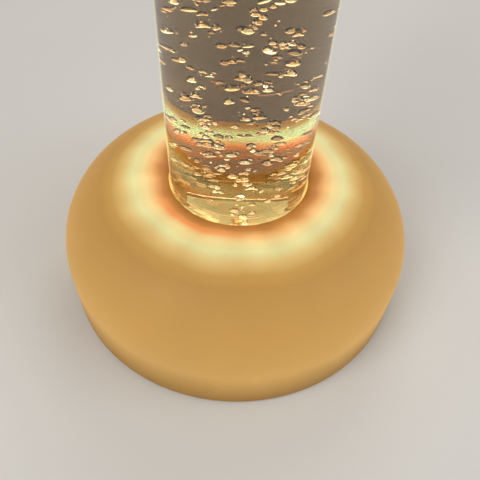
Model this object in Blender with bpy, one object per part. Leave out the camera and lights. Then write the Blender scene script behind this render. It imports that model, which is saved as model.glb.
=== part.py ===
"""Bubble tube lamp: a clear water tube that stands in a round, glowing base.

The tube's thick clear floor holds three air nozzles. A twin-armed diaphragm pump in
the base feeds them, so that bubbles rise through the lit water. A ring of lights
round the tube's socket lights the base, and a round light board under the tube's
floor lights the water.

Metres, +Z up. The origin is on the floor under the middle of the base. The rear of
the lamp, with its power inlet and its button, is at +Y.
"""

import math

import bmesh
import bpy
from mathutils import Matrix, Vector

# Driving sizes
lamp_height = 1.200
base_radius = 0.199
base_side_height = 0.065
crown_height = 0.148
crown_radius = 0.100
tube_radius = 0.075
tube_wall = 0.004
tube_floor_height = 0.128
tube_floor_thickness = 0.018

# Fits and cuts
seat_gap = 0.0003
running_gap = 0.0006
overrun = 0.002
merge_distance = 0.000001
screw_clearance = 0.0004

# Base shell
shell_wall = 0.004
shell_rim_height = 0.003
shell_rim_round = 0.003
tube_hole_clearance = 0.0012
lip_drop = 0.004
lip_thickness = 0.002
shell_facets = 52

# Bosses in the shell that the base plate screws into
boss_count = 3
boss_first_angle = 30.0
boss_radius = 0.0065
boss_circle_inset = 0.015
boss_length = 0.024
pilot_length = 0.018

# Recess for the inlet and the button, moulded into the rear of the shell
recess_width = 0.096
recess_height = 0.030
recess_sill_height = 0.020
recess_depth = 0.021
recess_wall = 0.004
recess_corner = 0.004

# Base plate
plate_thickness = 0.008
plate_recess = 0.003
plate_clearance = 0.0007
vent_count = 5
vent_width = 0.003
vent_pitch = 0.008

# Feet
foot_count = 4
foot_first_angle = 45.0
foot_radius = 0.014
foot_circle_inset = 0.027
foot_pocket_depth = 0.0015
foot_round = 0.0015
foot_dish_radius = 0.004
foot_dish_depth = 0.002

# Screws
screw_radius = 0.002
screw_head_radius = 0.004
screw_head_height = 0.0026
counterbore_radius = 0.005
counterbore_depth = 0.004
socket_screw_count = 3
socket_screw_first_angle = 45.0
socket_screw_length = 0.011

# Socket that holds the tube
socket_clearance = 0.0005
socket_wall = 0.0035
socket_foot_width = 0.025
socket_foot_thickness = 0.005
socket_skirt_width = 0.009
socket_shelf_height = 0.057
socket_shelf_thickness = 0.005
socket_shelf_width = 0.0195
socket_flange_inset = 0.005
socket_flange_thickness = 0.004
socket_window_width = 0.036
socket_window_height = 0.026
socket_window_sill = 0.005
rib_count = 8
rib_thickness = 0.003
rib_waist_width = 0.013
rib_foot_height = 0.040
rib_shoulder_height = 0.086
rib_tip_height = 0.0045
tube_seal_height = 0.003
tube_seal_width = 0.007

# Ring of lights under the shell's crown
ring_board_gap = 0.001
ring_board_width = 0.026
ring_board_height = 0.112
board_thickness = 0.0016
ring_light_count = 16
light_size = 0.005
light_height = 0.0018
light_top_share = 0.72

# Light board under the tube's floor, on its stand
stand_ring_width = 0.0075
stand_ring_clearance = 0.003
stand_ring_height = 0.003
stand_leg_thickness = 0.006
stand_leg_depth = 0.004
stand_shoulder_share = 0.6
stand_top_radius = 0.035
stand_top_thickness = 0.003
stand_cable_hole_radius = 0.004
stand_cable_circle = 0.025
lamp_board_radius = 0.033
lamp_light_count = 8
lamp_light_circle = 0.024

# Air nozzles, screwed into the tube's floor
nozzle_count = 3
nozzle_first_angle = 30.0
nozzle_circle = 0.042
nozzle_thread_radius = 0.004
nozzle_head_radius = 0.0055
nozzle_head_height = 0.0025
nozzle_bore_radius = 0.0012
nozzle_shank_length = 0.003
barb_length = 0.009
barb_root_radius = 0.0022
barb_tip_radius = 0.0029

# Air line
hose_radius = 0.0040
manifold_radius = 0.010
manifold_length = 0.021
manifold_port_drop = 0.0135
manifold_port_length = 0.012
nozzle_hose_rise = 0.022
check_valve_radius = 0.0085
check_valve_length = 0.024
check_valve_angle = 248.3
air_line_height = 0.032
pump_hose_bend_share = 0.5

# Cables
cable_radius = 0.00175
cable_height = 0.030
inner_cable_circle = 0.118
outer_cable_circle = 0.134

# Pump case
pump_width = 0.046
pump_length = 0.092
pump_corner = 0.008
pump_wall = 0.002
pump_pad_height = 0.006
pump_pad_inset = 0.004
pump_pad_width = 0.007
pump_intake_radius = 0.003
pump_floor_thickness = 0.003
pump_rim_height = 0.008
pump_cover_height = 0.036
pump_line_height = 0.020

# Pump coil and core
core_plate_width = 0.024
core_plate_thickness = 0.004
core_neck_width = 0.010
core_height = 0.014
core_half_length = 0.018
core_lift = 0.008
coil_build = 0.005
coil_slack = 0.001

# Pump arms, magnets, bellows and valve chambers
arm_reach = 0.017
arm_tip = 0.012
arm_thickness = 0.003
arm_height = 0.012
arm_hub_radius = 0.0035
arm_pin_radius = 0.0015
arm_pin_height = 0.026
air_gap = 0.0022
magnet_thickness = 0.004
magnet_width = 0.012
bellows_radius = 0.008
bellows_waist_radius = 0.0068
bellows_wall = 0.0012
bellows_length = 0.008
spigot_engagement = 0.003
spigot_length = 0.004
chamber_width = 0.022
chamber_height = 0.026
chamber_thickness = 0.0065
duct_radius = 0.0026
duct_inset = 0.0050

# Control board
control_board_width = 0.046
control_board_length = 0.080
control_board_corner = 0.003
control_post_radius = 0.0035
control_post_height = 0.008
control_post_inset = 0.0045
control_peg_radius = 0.0015
control_peg_height = 0.0030
capacitor_radius = 0.005
capacitor_height = 0.012
chip_size = 0.010
chip_height = 0.002
connector_depth = 0.006
connector_width = 0.010
connector_height = 0.008

# Power inlet
inlet_side_offset = -0.024
inlet_flange_radius = 0.008
inlet_flange_height = 0.002
inlet_thread_radius = 0.0055
inlet_body_length = 0.018
jack_radius = 0.0032
jack_depth = 0.011
jack_pin_radius = 0.00105
jack_pin_length = 0.010
panel_nut_height = 0.0045

# Button
button_side_offset = 0.024
button_bezel_radius = 0.011
button_bezel_height = 0.002
button_thread_radius = 0.008
button_body_length = 0.018
button_radius = 0.006
button_proud = 0.003
button_depth = 0.0045
button_round = 0.001
button_well_depth = 0.012
spring_radius = 0.0035
spring_wire_radius = 0.0004
spring_turns = 4

# Cap
cap_overhang = 0.002
cap_edge_height = 0.006
cap_crown_rise = 0.002
cap_edge_round = 0.004
cap_vent_radius = 0.006
cap_vent_round = 0.001
cap_plug_clearance = 0.0015
cap_plug_wall = 0.0035
cap_plug_depth = 0.020
cap_roof_thickness = 0.003
cap_seal_radius = 0.0012
cap_groove_depth = 0.0016
cap_groove_height = 0.003
cap_groove_drop = 0.010

# Water
water_headspace = 0.050

# Heights and radii that follow from the sizes above
shell_inner_radius = base_radius - shell_wall
plate_bottom = shell_rim_height + plate_recess
plate_top = plate_bottom + plate_thickness
plate_radius = shell_inner_radius - plate_clearance
tube_bore_radius = tube_radius - tube_wall
tube_hole_radius = tube_radius + tube_hole_clearance
socket_bore_radius = tube_radius + socket_clearance
socket_radius = socket_bore_radius + socket_wall
socket_foot_radius = socket_radius + socket_foot_width
socket_skirt_radius = socket_radius - socket_skirt_width
socket_shelf_radius = socket_bore_radius - socket_shelf_width
rib_waist_radius = socket_radius + rib_waist_width
stand_ring_outer_radius = tube_radius - tube_seal_width - stand_ring_clearance
stand_ring_inner_radius = stand_ring_outer_radius - stand_ring_width
socket_flange_radius = crown_radius - socket_flange_inset
lip_underside = crown_height - lip_drop - lip_thickness
tube_bottom = socket_shelf_height + tube_seal_height + 2.0 * seat_gap
cap_height = cap_edge_height + cap_crown_rise
tube_top = lamp_height - cap_height - seat_gap
tube_floor_radius = tube_bore_radius - seat_gap
tube_floor_bottom = tube_floor_height - tube_floor_thickness
ring_board_inner_radius = socket_flange_radius + ring_board_gap
ring_light_circle = ring_board_inner_radius + ring_board_width / 2.0
boss_circle = base_radius - boss_circle_inset
foot_circle = base_radius - foot_circle_inset
recess_floor = base_radius - recess_depth
recess_middle = recess_sill_height + recess_height / 2.0
bay_circle = (socket_foot_radius + shell_inner_radius) / 2.0
pump_tray_height = plate_top + pump_pad_height + 2.0 * seat_gap
pump_floor_height = pump_tray_height + pump_floor_thickness
pump_duct_height = pump_floor_height + pump_line_height
core_middle = core_lift + core_height / 2.0
arm_boss_height = core_middle - arm_height / 2.0 - seat_gap
arm_face = core_half_length + air_gap + magnet_thickness + seat_gap
arm_back = arm_face + arm_thickness
chamber_face = arm_back + seat_gap + bellows_length - spigot_engagement + spigot_length
control_board_height = plate_top + control_post_height + seat_gap
nozzle_barb_tip = tube_floor_bottom - nozzle_shank_length - barb_length
manifold_top = nozzle_barb_tip - seat_gap - nozzle_hose_rise + manifold_port_drop
manifold_bottom = manifold_top - manifold_length
stand_top_height = manifold_top + seat_gap + stand_top_thickness

# Colours, as red, green and blue
opal_colour = (0.86, 0.66, 0.36)
white_colour = (0.85, 0.84, 0.80)
grey_colour = (0.30, 0.31, 0.32)
black_colour = (0.03, 0.03, 0.03)
rubber_colour = (0.05, 0.05, 0.05)
steel_colour = (0.62, 0.62, 0.60)
brass_colour = (0.78, 0.60, 0.28)
copper_colour = (0.72, 0.38, 0.20)
board_colour = (0.88, 0.88, 0.84)
green_board_colour = (0.06, 0.25, 0.12)
silicone_colour = (0.85, 0.85, 0.80)
acrylic_colour = (0.90, 0.95, 0.90)
water_colour = (0.80, 0.88, 0.84)


# Tools for shapes

def circle_point(radius, degrees, height=0.0):
    """A point on a level circle round the Z axis."""
    angle = math.radians(degrees)
    return Vector((radius * math.cos(angle), radius * math.sin(angle), height))


def arc_points(centre, radii, first_degrees, last_degrees, steps):
    """Points on an elliptical arc, in the plane of an outline."""
    points = []
    for step in range(steps + 1):
        angle = math.radians(first_degrees + (last_degrees - first_degrees) * step / steps)
        across = centre[0] + radii[0] * math.cos(angle)
        up = centre[1] + radii[1] * math.sin(angle)
        points.append((across, up))
    return points


def spread(count, first_degrees=0.0):
    """Equally spaced angles round the circle, in degrees."""
    return [first_degrees + 360.0 * number / count for number in range(count)]


def turned(outline, facets):
    """A solid turned about Z, from a closed outline of (radius, height) points.

    An outline that starts and ends on the axis is left open along it.
    """
    mesh = bmesh.new()
    corners = [mesh.verts.new((radius, 0.0, height)) for radius, height in outline]
    edges = [mesh.edges.new(pair) for pair in zip(corners, corners[1:])]
    if outline[0][0] > 0.0 or outline[-1][0] > 0.0:
        edges.append(mesh.edges.new((corners[-1], corners[0])))
    bmesh.ops.spin(
        mesh, geom=corners + edges, cent=(0.0, 0.0, 0.0), axis=(0.0, 0.0, 1.0),
        angle=math.tau, steps=facets, use_merge=True,
    )
    bmesh.ops.remove_doubles(mesh, verts=mesh.verts, dist=merge_distance)
    bmesh.ops.recalc_face_normals(mesh, faces=mesh.faces)
    return mesh


def prism(outline, low, high):
    """A solid with a flat outline of (x, y) points, from one height to another."""
    mesh = bmesh.new()
    base = mesh.faces.new([mesh.verts.new((x, y, low)) for x, y in outline])
    grown = bmesh.ops.extrude_face_region(mesh, geom=[base])["geom"]
    raised = [item for item in grown if isinstance(item, bmesh.types.BMVert)]
    bmesh.ops.translate(mesh, verts=raised, vec=(0.0, 0.0, high - low))
    bmesh.ops.recalc_face_normals(mesh, faces=mesh.faces)
    return mesh


def cylinder(radius, low, high, facets):
    """An upright cylinder on the Z axis."""
    return turned([(0.0, high), (radius, high), (radius, low), (0.0, low)], facets)


def block(low, high):
    """A box between two corners."""
    outline = [(low[0], low[1]), (high[0], low[1]), (high[0], high[1]), (low[0], high[1])]
    return prism(outline, low[2], high[2])


def rounded_rectangle(width, depth, corner, steps=3):
    """The outline of a rectangle with round corners, centred on the origin."""
    points = []
    for quarter, (side, end) in enumerate(((1, 1), (-1, 1), (-1, -1), (1, -1))):
        centre = (side * (width / 2.0 - corner), end * (depth / 2.0 - corner))
        first = 90.0 * quarter
        points += arc_points(centre, (corner, corner), first, first + 90.0, steps)
    return points


def moved(mesh, place=(0.0, 0.0, 0.0), degrees=0.0, axis="Z"):
    """Turns a mesh about an axis through the origin, then moves it."""
    turn = Matrix.Rotation(math.radians(degrees), 4, axis)
    bmesh.ops.transform(mesh, matrix=Matrix.Translation(place) @ turn, verts=mesh.verts)
    return mesh


def grouped(meshes):
    """Puts separate meshes into one."""
    whole = bmesh.new()
    for mesh in meshes:
        carrier = bpy.data.meshes.new("carrier")
        mesh.to_mesh(carrier)
        mesh.free()
        whole.from_mesh(carrier)
        bpy.data.meshes.remove(carrier)
    return whole


# Tools for objects

def paint(name, colour, roughness, metallic=0.0, alpha=1.0, glow=0.0):
    """A material with one colour."""
    material = bpy.data.materials.new(name)
    material.use_nodes = True
    shader = material.node_tree.nodes["Principled BSDF"]
    shader.inputs["Base Color"].default_value = (*colour, 1.0)
    shader.inputs["Roughness"].default_value = roughness
    shader.inputs["Metallic"].default_value = metallic
    shader.inputs["Alpha"].default_value = alpha
    shader.inputs["Emission Color"].default_value = (*colour, 1.0)
    shader.inputs["Emission Strength"].default_value = glow
    return material


def add_piece(name, shape, material, place=(0.0, 0.0, 0.0), turn=(0.0, 0.0, 0.0), parent=None):
    """Makes one object of a mesh, shaded smooth up to its sharp edges."""
    data = bpy.data.meshes.new(name)
    shape.to_mesh(data)
    shape.free()
    data.shade_smooth()
    data.set_sharp_from_angle(angle=math.radians(35.0))
    return add_object(name, data, material, place, turn, parent)


def add_object(name, data, material, place=(0.0, 0.0, 0.0), turn=(0.0, 0.0, 0.0), parent=None):
    """Makes one object of mesh or curve data, which it may share with another."""
    if not data.materials:
        data.materials.append(material)
    piece = bpy.data.objects.new(name, data)
    piece.location = place
    piece.rotation_euler = [math.radians(angle) for angle in turn]
    piece.parent = parent
    bpy.context.scene.collection.objects.link(piece)
    return piece


def add_copies(name, shape, material, places, turn=(0.0, 0.0, 0.0)):
    """Numbered objects of one shape, which share its mesh."""
    first = add_piece(f"{name}_1", shape, material, places[0], turn)
    for number, place in enumerate(places[1:], 2):
        add_object(f"{name}_{number}", first.data, material, place, turn)


def add_marker(name, place):
    """An empty that stands on a joint's axis."""
    marker = bpy.data.objects.new(name, None)
    marker.location = place
    bpy.context.scene.collection.objects.link(marker)
    return marker


def shape_with(piece, helper_shape, operation, label):
    """Cuts or joins a piece with a helper that stays out of the model."""
    data = bpy.data.meshes.new(f"{piece.name}_{label}")
    helper_shape.to_mesh(data)
    helper_shape.free()
    helper = bpy.data.objects.new(data.name, data)
    helper.matrix_world = Matrix.Translation(piece.location) @ piece.rotation_euler.to_matrix().to_4x4()
    helper.parent = piece.parent
    helper.hide_render = True
    helper.display_type = "WIRE"
    bpy.context.scene.collection.objects.link(helper)
    modifier = piece.modifiers.new(label, "BOOLEAN")
    modifier.operation = operation
    modifier.object = helper


def cut(piece, helper_shape, label="cutter"):
    """Takes a shape away from a piece."""
    shape_with(piece, helper_shape, "DIFFERENCE", label)


def join(piece, helper_shape, label="addition"):
    """Makes a shape part of a piece."""
    shape_with(piece, helper_shape, "UNION", label)


def add_line(name, route, radius, material, steps=6):
    """A hose or a cable. Its route is a list of (point, direction, handle length)."""
    curve = bpy.data.curves.new(name, "CURVE")
    curve.dimensions = "3D"
    curve.bevel_depth = radius
    curve.bevel_resolution = 2
    curve.resolution_u = steps
    curve.use_fill_caps = True
    line = curve.splines.new("BEZIER")
    line.bezier_points.add(len(route) - 1)
    for corner, (place, direction, handle) in zip(line.bezier_points, route):
        along = Vector(direction).normalized() * handle
        corner.co = place
        corner.handle_left_type = "FREE"
        corner.handle_right_type = "FREE"
        corner.handle_left = Vector(place) - along
        corner.handle_right = Vector(place) + along
    add_object(name, curve, material)


def screw_shape(length, shank_radius, head_radius, head_height, facets=8):
    """A pan-head screw that hangs down from the underside of its head."""
    socket_radius_here = head_radius / 3.0
    socket_floor = head_height / 2.0
    outline = [
        (0.0, socket_floor), (socket_radius_here, socket_floor), (socket_radius_here, head_height),
        (head_radius * 3.0 / 4.0, head_height), (head_radius, socket_floor), (head_radius, 0.0),
        (shank_radius, 0.0), (shank_radius, -length), (0.0, -length),
    ]
    return turned(outline, facets)


def barb_outline(tip, bore, root, widest, length):
    """Outline points of a hose barb from its tip, at height tip, up to its root."""
    return [
        (bore, tip), (root, tip), (widest, tip + length / 3.0),
        (root, tip + length / 3.0), (root, tip + length),
    ]


# Base

def add_base_shell(opal):
    """The opal shell: upright side, elliptical shoulder, level crown and rolled-in lip."""
    shoulder = (base_radius - crown_radius, crown_height - base_side_height)
    inner_shoulder = (shoulder[0] - shell_wall, shoulder[1] - shell_wall)
    lip_width = crown_radius - tube_hole_radius
    rim_centre = (base_radius - shell_rim_round, shell_rim_height + shell_rim_round)
    outline = arc_points((crown_radius, crown_height - lip_drop), (lip_width, lip_drop), 180.0, 90.0, 3)
    outline += arc_points((crown_radius, base_side_height), shoulder, 90.0, 0.0, 9)[1:]
    outline += arc_points(rim_centre, (shell_rim_round, shell_rim_round), 0.0, -90.0, 2)
    outline.append((shell_inner_radius, shell_rim_height))
    outline += arc_points((crown_radius, base_side_height), inner_shoulder, 0.0, 90.0, 5)
    outline.append((crown_radius - shell_wall / 2.0, lip_underside))
    outline.append((tube_hole_radius, lip_underside))
    shell = add_piece("base_shell", turned(outline, shell_facets), opal)
    join(shell, grouped(boss_shapes()), "bosses")
    join(shell, recess_block(), "recess_block")
    cut(shell, recess_hollow(), "recess_hollow")
    cut(shell, grouped(shell_hole_shapes()), "holes")


def boss_shapes():
    """Screw bosses that grow out of the shell's side."""
    shapes = []
    low = plate_top + seat_gap
    middle = base_radius - shell_wall / 2.0
    for angle in spread(boss_count, boss_first_angle):
        outline = [(middle, boss_radius)]
        outline += arc_points((boss_circle, 0.0), (boss_radius, boss_radius), 90.0, 270.0, 6)
        outline.append((middle, -boss_radius))
        shapes.append(moved(prism(outline, low, low + boss_length), degrees=angle))
    return shapes


def recess_outline(reach, half_width, floor):
    """Outline of the recess seen from above: flat floor, outer face round the Z axis."""
    side = math.degrees(math.asin(half_width / reach))
    outline = arc_points((0.0, 0.0), (reach, reach), 90.0 + side, 90.0 - side, 8)
    return outline + [(half_width, floor), (-half_width, floor)]


def recess_block():
    """The walls round the recess, before it is hollowed."""
    outline = recess_outline(
        base_radius - shell_wall / 2.0, recess_width / 2.0 + recess_wall, recess_floor - recess_wall
    )
    low = recess_sill_height - recess_wall
    return prism(outline, low, low + recess_height + 2.0 * recess_wall)


def recess_hollow():
    """The space of the recess, with round corners, from its floor out past the shell."""
    shape = prism(
        rounded_rectangle(recess_width, recess_height, recess_corner),
        0.0, recess_depth + overrun,
    )
    return moved(shape, (0.0, base_radius + overrun, recess_middle), 90.0, "X")


def shell_hole_shapes():
    """Pilot holes in the bosses, and the holes for the inlet and the button."""
    shapes = []
    low = plate_top + seat_gap - overrun
    for angle in spread(boss_count, boss_first_angle):
        place = circle_point(boss_circle, angle)
        pilot = cylinder(screw_radius + screw_clearance, low, low + pilot_length, 8)
        shapes.append(moved(pilot, place))
    for side, radius in (
        (inlet_side_offset, inlet_thread_radius), (button_side_offset, button_thread_radius),
    ):
        hole = cylinder(radius + seat_gap, -overrun, recess_wall + overrun, 16)
        shapes.append(moved(hole, (side, recess_floor, recess_middle), 90.0, "X"))
    return shapes


def add_base_plate(plastic):
    """The plate that closes the base, with its posts, pockets, screw holes and vents."""
    plate = add_piece("base_plate", cylinder(plate_radius, plate_bottom, plate_top, 48), plastic)
    post_top = plate_top + control_post_height
    outline = [
        (0.0, post_top + control_peg_height), (control_peg_radius, post_top + control_peg_height),
        (control_peg_radius, post_top), (control_post_radius, post_top),
        (control_post_radius, plate_top - overrun), (0.0, plate_top - overrun),
    ]
    posts = [moved(turned(outline, 8), place) for place in control_post_places()]
    join(plate, grouped(posts), "posts")
    cut(plate, grouped(plate_hole_shapes()), "holes")
    cut(plate, grouped(vent_shapes()), "vents")


def vent_shapes():
    """Slots under the pump that let air into the base."""
    shapes = []
    for number in range(vent_count):
        middle = (number - (vent_count - 1) / 2.0) * vent_pitch
        low = (-bay_circle - pump_width / 4.0, middle - vent_width / 2.0, plate_bottom - overrun)
        high = (-bay_circle + pump_width / 4.0, middle + vent_width / 2.0, plate_top + overrun)
        shapes.append(block(low, high))
    return shapes


def plate_hole_shapes():
    """Screw holes in the base plate, and the pockets for the feet."""
    shapes = []
    head_seat = plate_bottom + counterbore_depth
    for angle in spread(boss_count, boss_first_angle):
        outline = [
            (0.0, plate_top + overrun), (screw_radius + screw_clearance, plate_top + overrun),
            (screw_radius + screw_clearance, head_seat), (counterbore_radius, head_seat),
            (counterbore_radius, plate_bottom - overrun), (0.0, plate_bottom - overrun),
        ]
        shapes.append(moved(turned(outline, 8), circle_point(boss_circle, angle)))
    for angle in spread(foot_count, foot_first_angle):
        pocket = cylinder(
            foot_radius + seat_gap, plate_bottom - overrun, plate_bottom + foot_pocket_depth, 16
        )
        shapes.append(moved(pocket, circle_point(foot_circle, angle)))
    for place in socket_screw_places():
        pilot = cylinder(screw_radius + screw_clearance, plate_bottom + overrun, plate_top + overrun, 8)
        shapes.append(moved(pilot, place))
    return shapes


def add_feet(rubber):
    """Round rubber feet, dished underneath, pushed into pockets in the base plate."""
    top = plate_bottom + foot_pocket_depth - seat_gap
    outline = [
        (0.0, top), (foot_radius, top), (foot_radius, foot_round), (foot_radius - foot_round, 0.0),
        (foot_dish_radius, 0.0), (0.0, foot_dish_depth),
    ]
    places = [circle_point(foot_circle, angle) for angle in spread(foot_count, foot_first_angle)]
    add_copies("foot", turned(outline, 16), rubber, places)


def add_base_screws(steel):
    """Screws from below, through the plate and into the shell's bosses."""
    head_seat = plate_bottom + counterbore_depth
    length = pilot_length + plate_thickness - counterbore_depth - overrun - screw_radius
    shape = screw_shape(length, screw_radius, screw_head_radius, screw_head_height)
    places = [
        circle_point(boss_circle, angle, head_seat - seat_gap)
        for angle in spread(boss_count, boss_first_angle)
    ]
    add_copies("base_screw", shape, steel, places, turn=(180.0, 0.0, 0.0))


# Socket and ring of lights

def socket_screw_places():
    """Where the socket is screwed to the plate, between its ribs."""
    circle = socket_radius + socket_foot_width * 2.0 / 3.0
    return [circle_point(circle, angle) for angle in spread(socket_screw_count, socket_screw_first_angle)]


def add_tube_socket(plastic):
    """The ribbed socket: foot, skirt with windows, shelf for the tube, sleeve and top flange."""
    low = plate_top + seat_gap
    foot_top = low + socket_foot_thickness
    flange_top = lip_underside - seat_gap
    flange_bottom = flange_top - socket_flange_thickness
    shelf_bottom = socket_shelf_height - socket_shelf_thickness
    outline = [
        (socket_bore_radius, flange_top), (socket_flange_radius, flange_top),
        (socket_flange_radius, flange_bottom), (socket_radius, flange_bottom),
        (socket_radius, foot_top), (socket_foot_radius, foot_top),
        (socket_foot_radius, low), (socket_skirt_radius, low),
        (socket_skirt_radius, shelf_bottom), (socket_shelf_radius, shelf_bottom),
        (socket_shelf_radius, socket_shelf_height), (socket_bore_radius, socket_shelf_height),
    ]
    socket = add_piece("tube_socket", turned(outline, 40), plastic)
    join(socket, grouped(rib_shapes(low, flange_bottom)), "ribs")
    cut(socket, grouped(socket_hole_shapes(foot_top)), "holes")


def rib_shapes(low, flange_bottom):
    """Ribs that brace the sleeve, carry the ring board and hold up the flange."""
    inside = socket_radius - socket_wall / 2.0
    board_seat = ring_board_height - seat_gap
    board_edge = ring_board_inner_radius - ring_board_gap
    tip = ring_board_inner_radius + ring_board_width
    outline = [
        (inside, low + socket_foot_thickness / 2.0),
        (socket_foot_radius - rib_thickness, low + socket_foot_thickness / 2.0),
        (rib_waist_radius, rib_foot_height),
        (rib_waist_radius, rib_shoulder_height),
        (tip, board_seat - rib_tip_height),
        (tip, board_seat),
        (board_edge - rib_thickness, board_seat),
        (board_edge - rib_thickness, flange_bottom + socket_flange_thickness / 2.0),
        (inside, flange_bottom + socket_flange_thickness / 2.0),
    ]
    shapes = []
    for angle in spread(rib_count, 180.0 / rib_count):
        rib = moved(prism(outline, -rib_thickness / 2.0, rib_thickness / 2.0), degrees=90.0, axis="X")
        shapes.append(moved(rib, degrees=angle))
    return shapes


def socket_hole_shapes(foot_top):
    """Windows in the skirt for the air hose and cables, and the screw holes in the foot."""
    shapes = []
    sill = foot_top + socket_window_sill
    for angle in spread(4):
        window = block(
            (socket_shelf_radius, -socket_window_width / 2.0, sill),
            (socket_radius + overrun, socket_window_width / 2.0, sill + socket_window_height),
        )
        shapes.append(moved(window, degrees=angle))
    for place in socket_screw_places():
        hole = cylinder(screw_radius + screw_clearance, plate_top - overrun, foot_top + overrun, 8)
        shapes.append(moved(hole, place))
    return shapes


def add_socket_screws(steel):
    """Screws through the socket's foot into the base plate."""
    seat = Vector((0.0, 0.0, plate_top + socket_foot_thickness + 2.0 * seat_gap))
    shape = screw_shape(socket_screw_length, screw_radius, screw_head_radius, screw_head_height)
    add_copies("socket_screw", shape, steel, [place + seat for place in socket_screw_places()])


def light_shape():
    """One light, rooted in its board: a square package that narrows to its lens."""
    half = light_size / 2.0
    mesh = block((-half, -half, -board_thickness / 2.0), (half, half, light_height))
    for corner in mesh.verts:
        if corner.co.z > 0.0:
            corner.co.x *= light_top_share
            corner.co.y *= light_top_share
    return mesh


def light_ring(count, circle, height):
    """Lights set in a ring, each square to the middle."""
    shapes = []
    for angle in spread(count, 180.0 / count):
        shape = moved(light_shape(), (circle, 0.0, height))
        shapes.append(moved(shape, degrees=angle))
    return shapes


def add_ring_lights(board_white):
    """The ring board on the socket's ribs, with its lights."""
    inner = ring_board_inner_radius
    outer = inner + ring_board_width
    top = ring_board_height + board_thickness
    outline = [(inner, ring_board_height), (outer, ring_board_height), (outer, top), (inner, top)]
    board = add_piece("ring_light_board", turned(outline, 40), board_white)
    join(board, grouped(light_ring(ring_light_count, ring_light_circle, top)), "lights")


# Tube, its floor, nozzles and water

def add_tube(acrylic, rubber):
    """The clear tube, the seal ring that it stands on, and its thick clear floor."""
    seal_bottom = socket_shelf_height + seat_gap
    seal_top = seal_bottom + tube_seal_height
    seal_inner = tube_radius - tube_seal_width
    seal = [
        (seal_inner, seal_bottom), (tube_radius, seal_bottom),
        (tube_radius, seal_top), (seal_inner, seal_top),
    ]
    add_piece("tube_seal", turned(seal, 32), rubber)
    tube = [
        (tube_bore_radius, tube_bottom), (tube_radius, tube_bottom),
        (tube_radius, tube_top), (tube_bore_radius, tube_top),
    ]
    add_piece("tube", turned(tube, 64), acrylic)
    disc = cylinder(tube_floor_radius, tube_floor_bottom, tube_floor_height, 48)
    floor = add_piece("tube_floor", disc, acrylic)
    holes = []
    for angle in spread(nozzle_count, nozzle_first_angle):
        low = tube_floor_bottom - overrun
        hole = cylinder(nozzle_thread_radius + seat_gap, low, tube_floor_height + overrun, 12)
        holes.append(moved(hole, circle_point(nozzle_circle, angle)))
    cut(floor, grouped(holes), "holes")


def add_nozzles(brass):
    """Air nozzles screwed through the tube's floor, each with a hose barb below it."""
    head_seat = tube_floor_height + seat_gap
    shank_bottom = nozzle_barb_tip + barb_length
    outline = barb_outline(
        nozzle_barb_tip, nozzle_bore_radius, barb_root_radius, barb_tip_radius, barb_length
    )
    outline += [
        (nozzle_thread_radius, shank_bottom), (nozzle_thread_radius, head_seat),
        (nozzle_head_radius, head_seat),
        (nozzle_head_radius, head_seat + nozzle_head_height / 2.0),
        (nozzle_head_radius / 2.0, head_seat + nozzle_head_height),
        (nozzle_bore_radius, head_seat + nozzle_head_height),
    ]
    places = [
        circle_point(nozzle_circle, angle) for angle in spread(nozzle_count, nozzle_first_angle)
    ]
    add_copies("air_nozzle", turned(outline, 10), brass, places)


def hexagon_nut(thread_radius, flat_radius, low, high):
    """A nut whose round hole clears its thread."""
    hole = thread_radius + seat_gap
    corner = flat_radius / math.cos(math.radians(30.0))
    mesh = bmesh.new()
    rings = []
    for height in (low, high):
        for radius, turn in ((corner, 0.0), (hole / math.cos(math.radians(15.0)), 0.0)):
            count = 6 if radius == corner else 12
            ring = [
                mesh.verts.new(circle_point(radius, turn + 360.0 * step / count, height))
                for step in range(count)
            ]
            edges = [mesh.edges.new((ring[step - 1], ring[step])) for step in range(count)]
            rings.append((ring, edges))
    outer_low, inner_low, outer_high, inner_high = rings
    for lower, upper in ((outer_low, outer_high), (inner_low, inner_high)):
        bmesh.ops.bridge_loops(mesh, edges=lower[1] + upper[1])
    for outside, inside in ((outer_low, inner_low), (outer_high, inner_high)):
        for corner_number in range(6):
            following = (corner_number + 1) % 6
            first = corner_number * 2
            ring = inside[0]
            mesh.faces.new((
                outside[0][corner_number], outside[0][following],
                ring[(first + 2) % 12], ring[first + 1], ring[first],
            ))
    bmesh.ops.recalc_face_normals(mesh, faces=mesh.faces)
    return mesh


def add_water(water):
    """The water in the tube, from the tube's floor to just below the cap."""
    low = tube_floor_height + seat_gap
    high = tube_top - water_headspace
    column = add_piece("water", cylinder(tube_floor_radius, low, high, 48), water)
    hollows = []
    for angle in spread(nozzle_count, nozzle_first_angle):
        height = low + nozzle_head_height + 2.0 * seat_gap
        hollow = cylinder(nozzle_head_radius + seat_gap, low - overrun, height, 12)
        hollows.append(moved(hollow, circle_point(nozzle_circle, angle)))
    cut(column, grouped(hollows), "nozzle_hollows")


# Light under the tube's floor

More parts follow.
